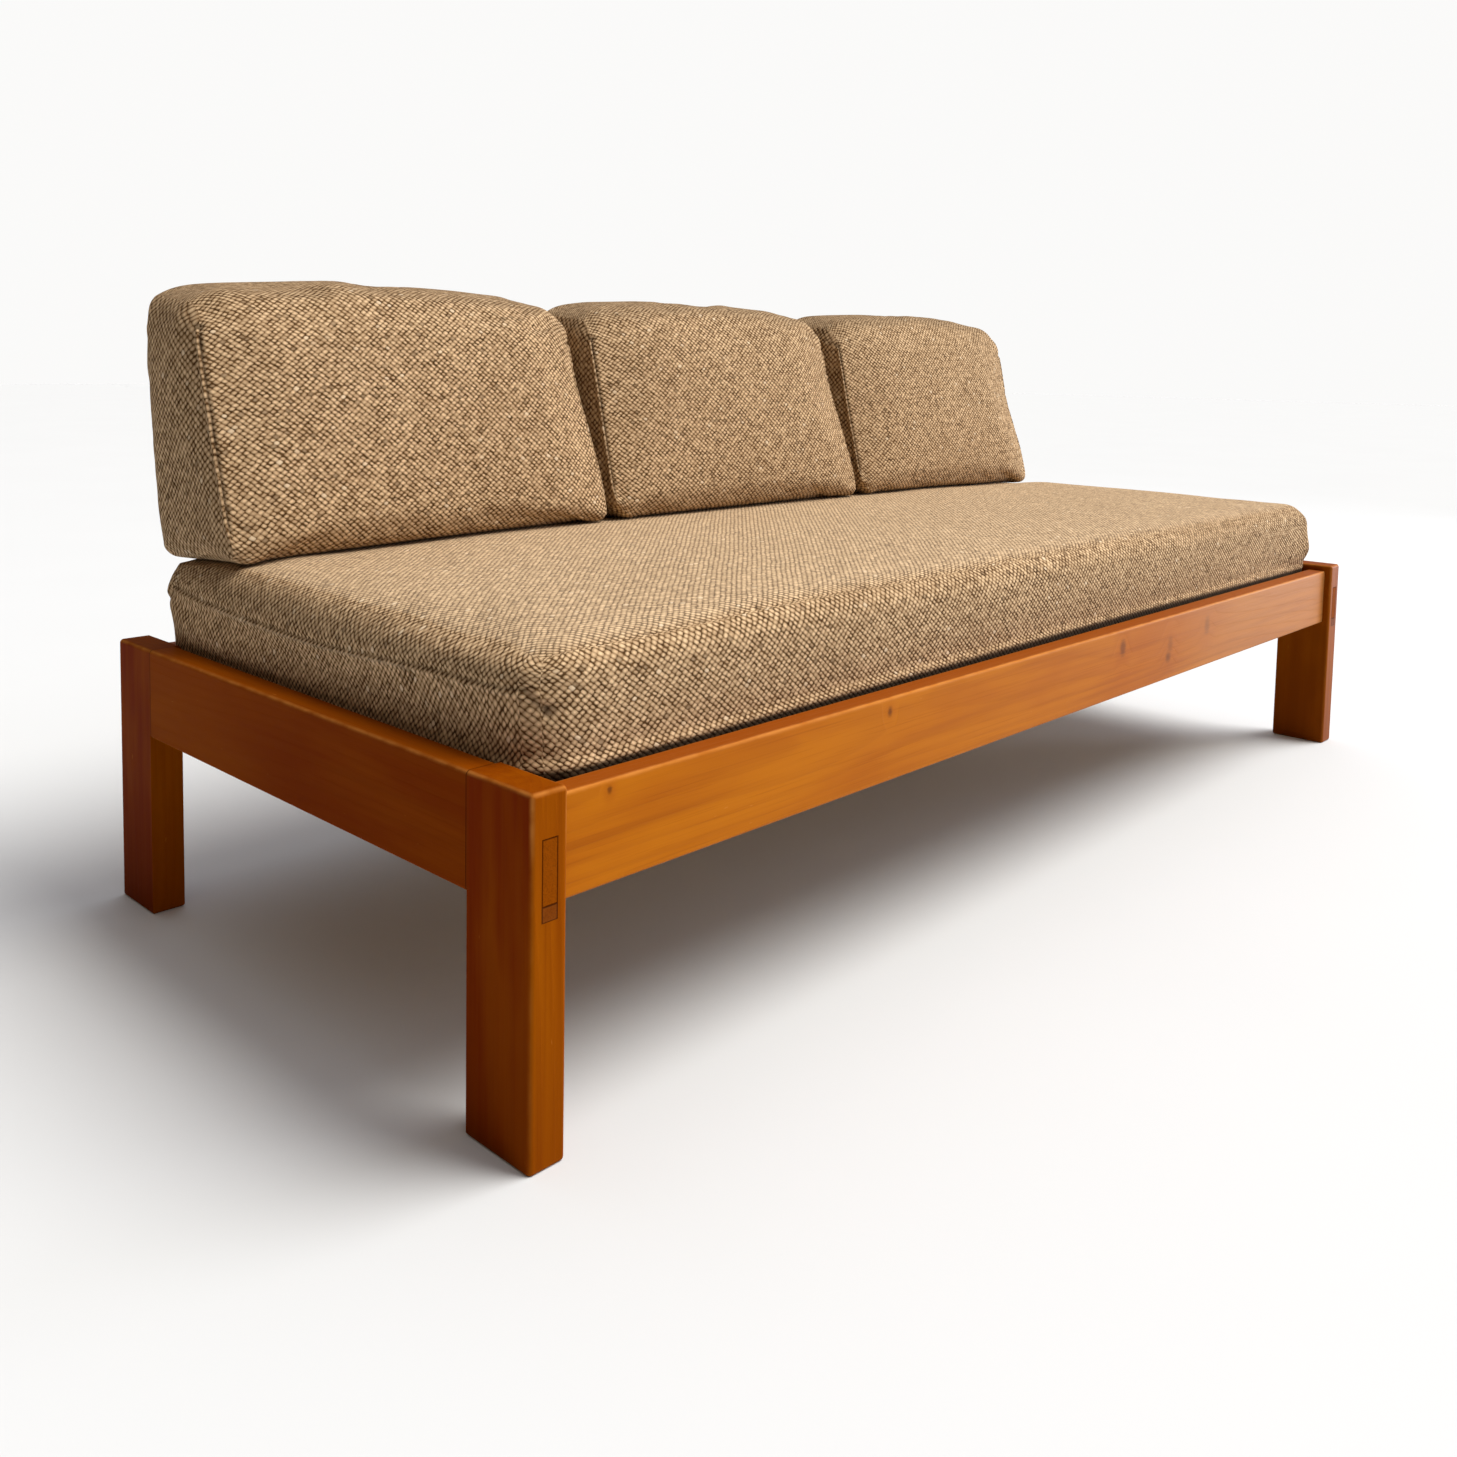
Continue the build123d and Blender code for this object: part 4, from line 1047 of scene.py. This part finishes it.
        set_points(piece.data, points + normals * press[:, None])
        # Painted shade: a dark line down the front seam, the puckers beside it, the dart at its top, the upward-facing
        # tops and the faces turned towards -X.
        line_width = 0.0030 + 0.0022 * bell(rise, 0.83, 0.05)
        seam_groove_shade = along * on_front * bell(end_gap, 0.001, line_width) * (0.75 + 0.45 * rough)
        beside = along * on_side * bell(front_gap, 0.0125, 0.004) * np.maximum(0.0, rough) * 0.7
        dart_shade = firm * hook * bell(rise, 0.880, 0.013)
        painted_top_shade = 0.25 * smooth_rise(normals[:, 2], 0.45, 0.9)
        minus_x_shade = 0.16 * smooth_rise(-normals[:, 0], 0.50, 0.90)
        paint_shade_and_light(piece.data, np.max((0.9 * seam_groove_shade, beside, 0.9 * dart_shade, painted_top_shade, minus_x_shade), axis=0))

    def seat(self, piece, flat, low, high, name):
        """Keeps the cover off the mattress, its neighbours and its own zip."""
        x, y, z = mesh_points(piece.data).T
        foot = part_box(f"cushion_{name}_cover")[0][2]
        z = np.maximum(z, foot - edge_sag(x, y))
        bulge = 0.004 + 0.016 * smooth_rise(z - foot, 0.04, 0.20)
        x = np.maximum(x, low[0] - (bulge if name == "left" else 0.0007))
        x = np.minimum(x, high[0] + (bulge if name == "right" else 0.0007))
        back = high[1]
        zip_height = foot + CUSHION_ZIP_HEIGHT
        clear = 1.0 - bell(z, zip_height, 0.022)
        y = np.minimum(y, back + 0.004 * np.clip(clear, 0.0, 1.0))
        in_zip = (flat[:, 1] > high[1] - 1e-6) & (np.abs(z - zip_height) < 0.016)
        in_zip &= inset(flat, low, high, 0) > 0.02
        y = np.where(in_zip, back, y)
        set_points(piece.data, np.stack((x, y, z), axis=1))


class Sky(Finish):
    """The world's light, put together with the same nodes."""

    def __init__(self, name):
        self.world = bpy.data.worlds.new(name)
        self.world.use_nodes = True
        self.tree = self.world.node_tree


def hang_light(name, kind, colour, power, aim, place=(0.0, 0.0, 0.0), **settings):
    """Hangs a light that shines along the aim."""
    lamp = bpy.data.lights.new(name, kind)
    lamp.energy = power
    lamp.color = colour
    for key, value in settings.items():
        setattr(lamp, key, value)
    body = bpy.data.objects.new(name, lamp)
    body.location = place
    body.rotation_euler = Vector(aim).to_track_quat("-Z", "Y").to_euler()
    bpy.context.scene.collection.objects.link(body)


class DAYBED_OT_stage(bpy.types.Operator):
    """Sets up the floor, the studio light and the camera"""

    bl_idname = "daybed.stage"
    bl_label = "Stage"

    def execute(self, context):
        scene = context.scene
        settings = scene.daybed_stage
        self.lay_floor(settings)
        self.light(scene, settings)
        self.aim_camera(scene)
        scene.view_settings.view_transform = "Standard"
        return {"FINISHED"}

    def lay_floor(self, settings):
        sheet = bmesh.new()
        bmesh.ops.create_grid(sheet, x_segments=2, y_segments=2, size=30.0)
        mesh = bpy.data.meshes.new("floor")
        sheet.to_mesh(mesh)
        sheet.free()
        paint = Finish("floor_paint")
        cloud = paint.noise(paint.object_place(), 1.5, 3.0)
        face = paint.mix(cloud, settings.floor, toned(settings.floor, 1.03))
        mesh.materials.append(paint.surface(face, 0.85, Specular_IOR_Level=0.1))
        floor = bpy.data.objects.new("floor", mesh)
        bpy.context.scene.collection.objects.link(floor)

    def light(self, scene, settings):
        sky = Sky("studio")
        x, _, z = sky.split(sky.node("ShaderNodeTexCoord").outputs["Generated"])
        tint = sky.mix(sky.step(z, 0.0, 1.0), toned(LOW_TINT, settings.low_fill), toned(FILL_TINT, settings.fill))
        shade = sky.mix(sky.step(x, -0.8, 0.8), toned(DARK_TINT, settings.dark_side), (1.0, 1.0, 1.0))
        shaded = sky.node("ShaderNodeMix", data_type="RGBA", blend_type="MULTIPLY")
        for index, value in ((0, 1.0), (6, tint), (7, shade)):
            sky.feed(shaded.inputs[index], value)
        lit, seen = sky.tree.nodes["Background"], sky.node("ShaderNodeBackground")
        sky.feed(lit.inputs["Color"], shaded.outputs[2])
        sky.feed(seen.inputs["Color"], BACKDROP)
        blend = sky.node("ShaderNodeMixShader")
        camera_ray = sky.node("ShaderNodeLightPath").outputs["Is Camera Ray"]
        for socket, value in zip(blend.inputs, (camera_ray, lit.outputs[0], seen.outputs[0])):
            sky.feed(socket, value)
        sky.feed(sky.tree.nodes["World Output"].inputs["Surface"], blend.outputs[0])
        scene.world = sky.world
        hang_light("key", "SUN", KEY_COLOUR, settings.key, KEY_AIM, angle=math.radians(KEY_SPREAD))
        place = Vector((4.6, -2.1, 0.85))
        aim = Vector((0.9, -0.2, 0.4)) - place
        hang_light("side_panel", "AREA", (0.95, 0.98, 1.12), settings.sheen, aim, place, shape="SQUARE", size=1.6)

    def aim_camera(self, scene):
        yaw, pitch, roll = (math.radians(angle) for angle in CAMERA_TURN)
        ahead = Vector((math.cos(pitch) * math.sin(yaw), math.cos(pitch) * math.cos(yaw), -math.sin(pitch)))
        level = Vector((math.cos(yaw), -math.sin(yaw), 0.0))
        upright = level.cross(ahead)
        right = math.cos(roll) * level + math.sin(roll) * upright
        up = math.cos(roll) * upright - math.sin(roll) * level
        lens = bpy.data.cameras.new("camera")
        lens.lens = LENS_MM
        lens.sensor_width = SENSOR_MM
        lens.shift_x, lens.shift_y = LENS_SHIFT
        camera = bpy.data.objects.new("camera", lens)
        turn = Matrix((right, up, -ahead)).transposed().to_4x4()
        camera.matrix_world = Matrix.Translation(CAMERA_PLACE) @ turn
        scene.collection.objects.link(camera)
        scene.camera = camera


class DAYBED_PT_panel(bpy.types.Panel):
    """Lists the daybed's pieces"""

    bl_idname = "DAYBED_PT_panel"
    bl_label = "Daybed"
    bl_space_type = "VIEW_3D"
    bl_region_type = "UI"
    bl_category = "Daybed"

    def draw(self, context):
        for operator in OPERATORS:
            self.layout.operator(operator.bl_idname, text=operator.bl_label)
        for holder in SETTINGS:
            box = self.layout.box()
            group = getattr(context.scene, holder)
            for name in group.__annotations__:
                box.prop(group, name)


OPERATORS = (
    DAYBED_OT_frame_wood,
    DAYBED_OT_slats,
    DAYBED_OT_fittings,
    DAYBED_OT_zips,
    DAYBED_OT_mattress,
    DAYBED_OT_back_cushions,
    DAYBED_OT_stage,
)
SETTINGS = {
    "daybed_tweed": TweedSettings,
    "daybed_wood": WoodSettings,
    "daybed_cushion": CushionSettings,
    "daybed_stage": StageSettings,
}


def register():
    for made in (*SETTINGS.values(), *OPERATORS, DAYBED_PT_panel):
        bpy.utils.register_class(made)
    for holder, group in SETTINGS.items():
        setattr(bpy.types.Scene, holder, PointerProperty(type=group))


def unregister():
    for holder in SETTINGS:
        delattr(bpy.types.Scene, holder)
    for made in reversed((*SETTINGS.values(), *OPERATORS, DAYBED_PT_panel)):
        bpy.utils.unregister_class(made)


def main():
    register()
    bpy.ops.daybed.frame_wood()
    bpy.ops.daybed.slats()
    bpy.ops.daybed.fittings()
    bpy.ops.daybed.zips()
    bpy.ops.daybed.mattress()
    bpy.ops.daybed.back_cushions()
    bpy.ops.daybed.stage()


if __name__ == "__main__":
    main()
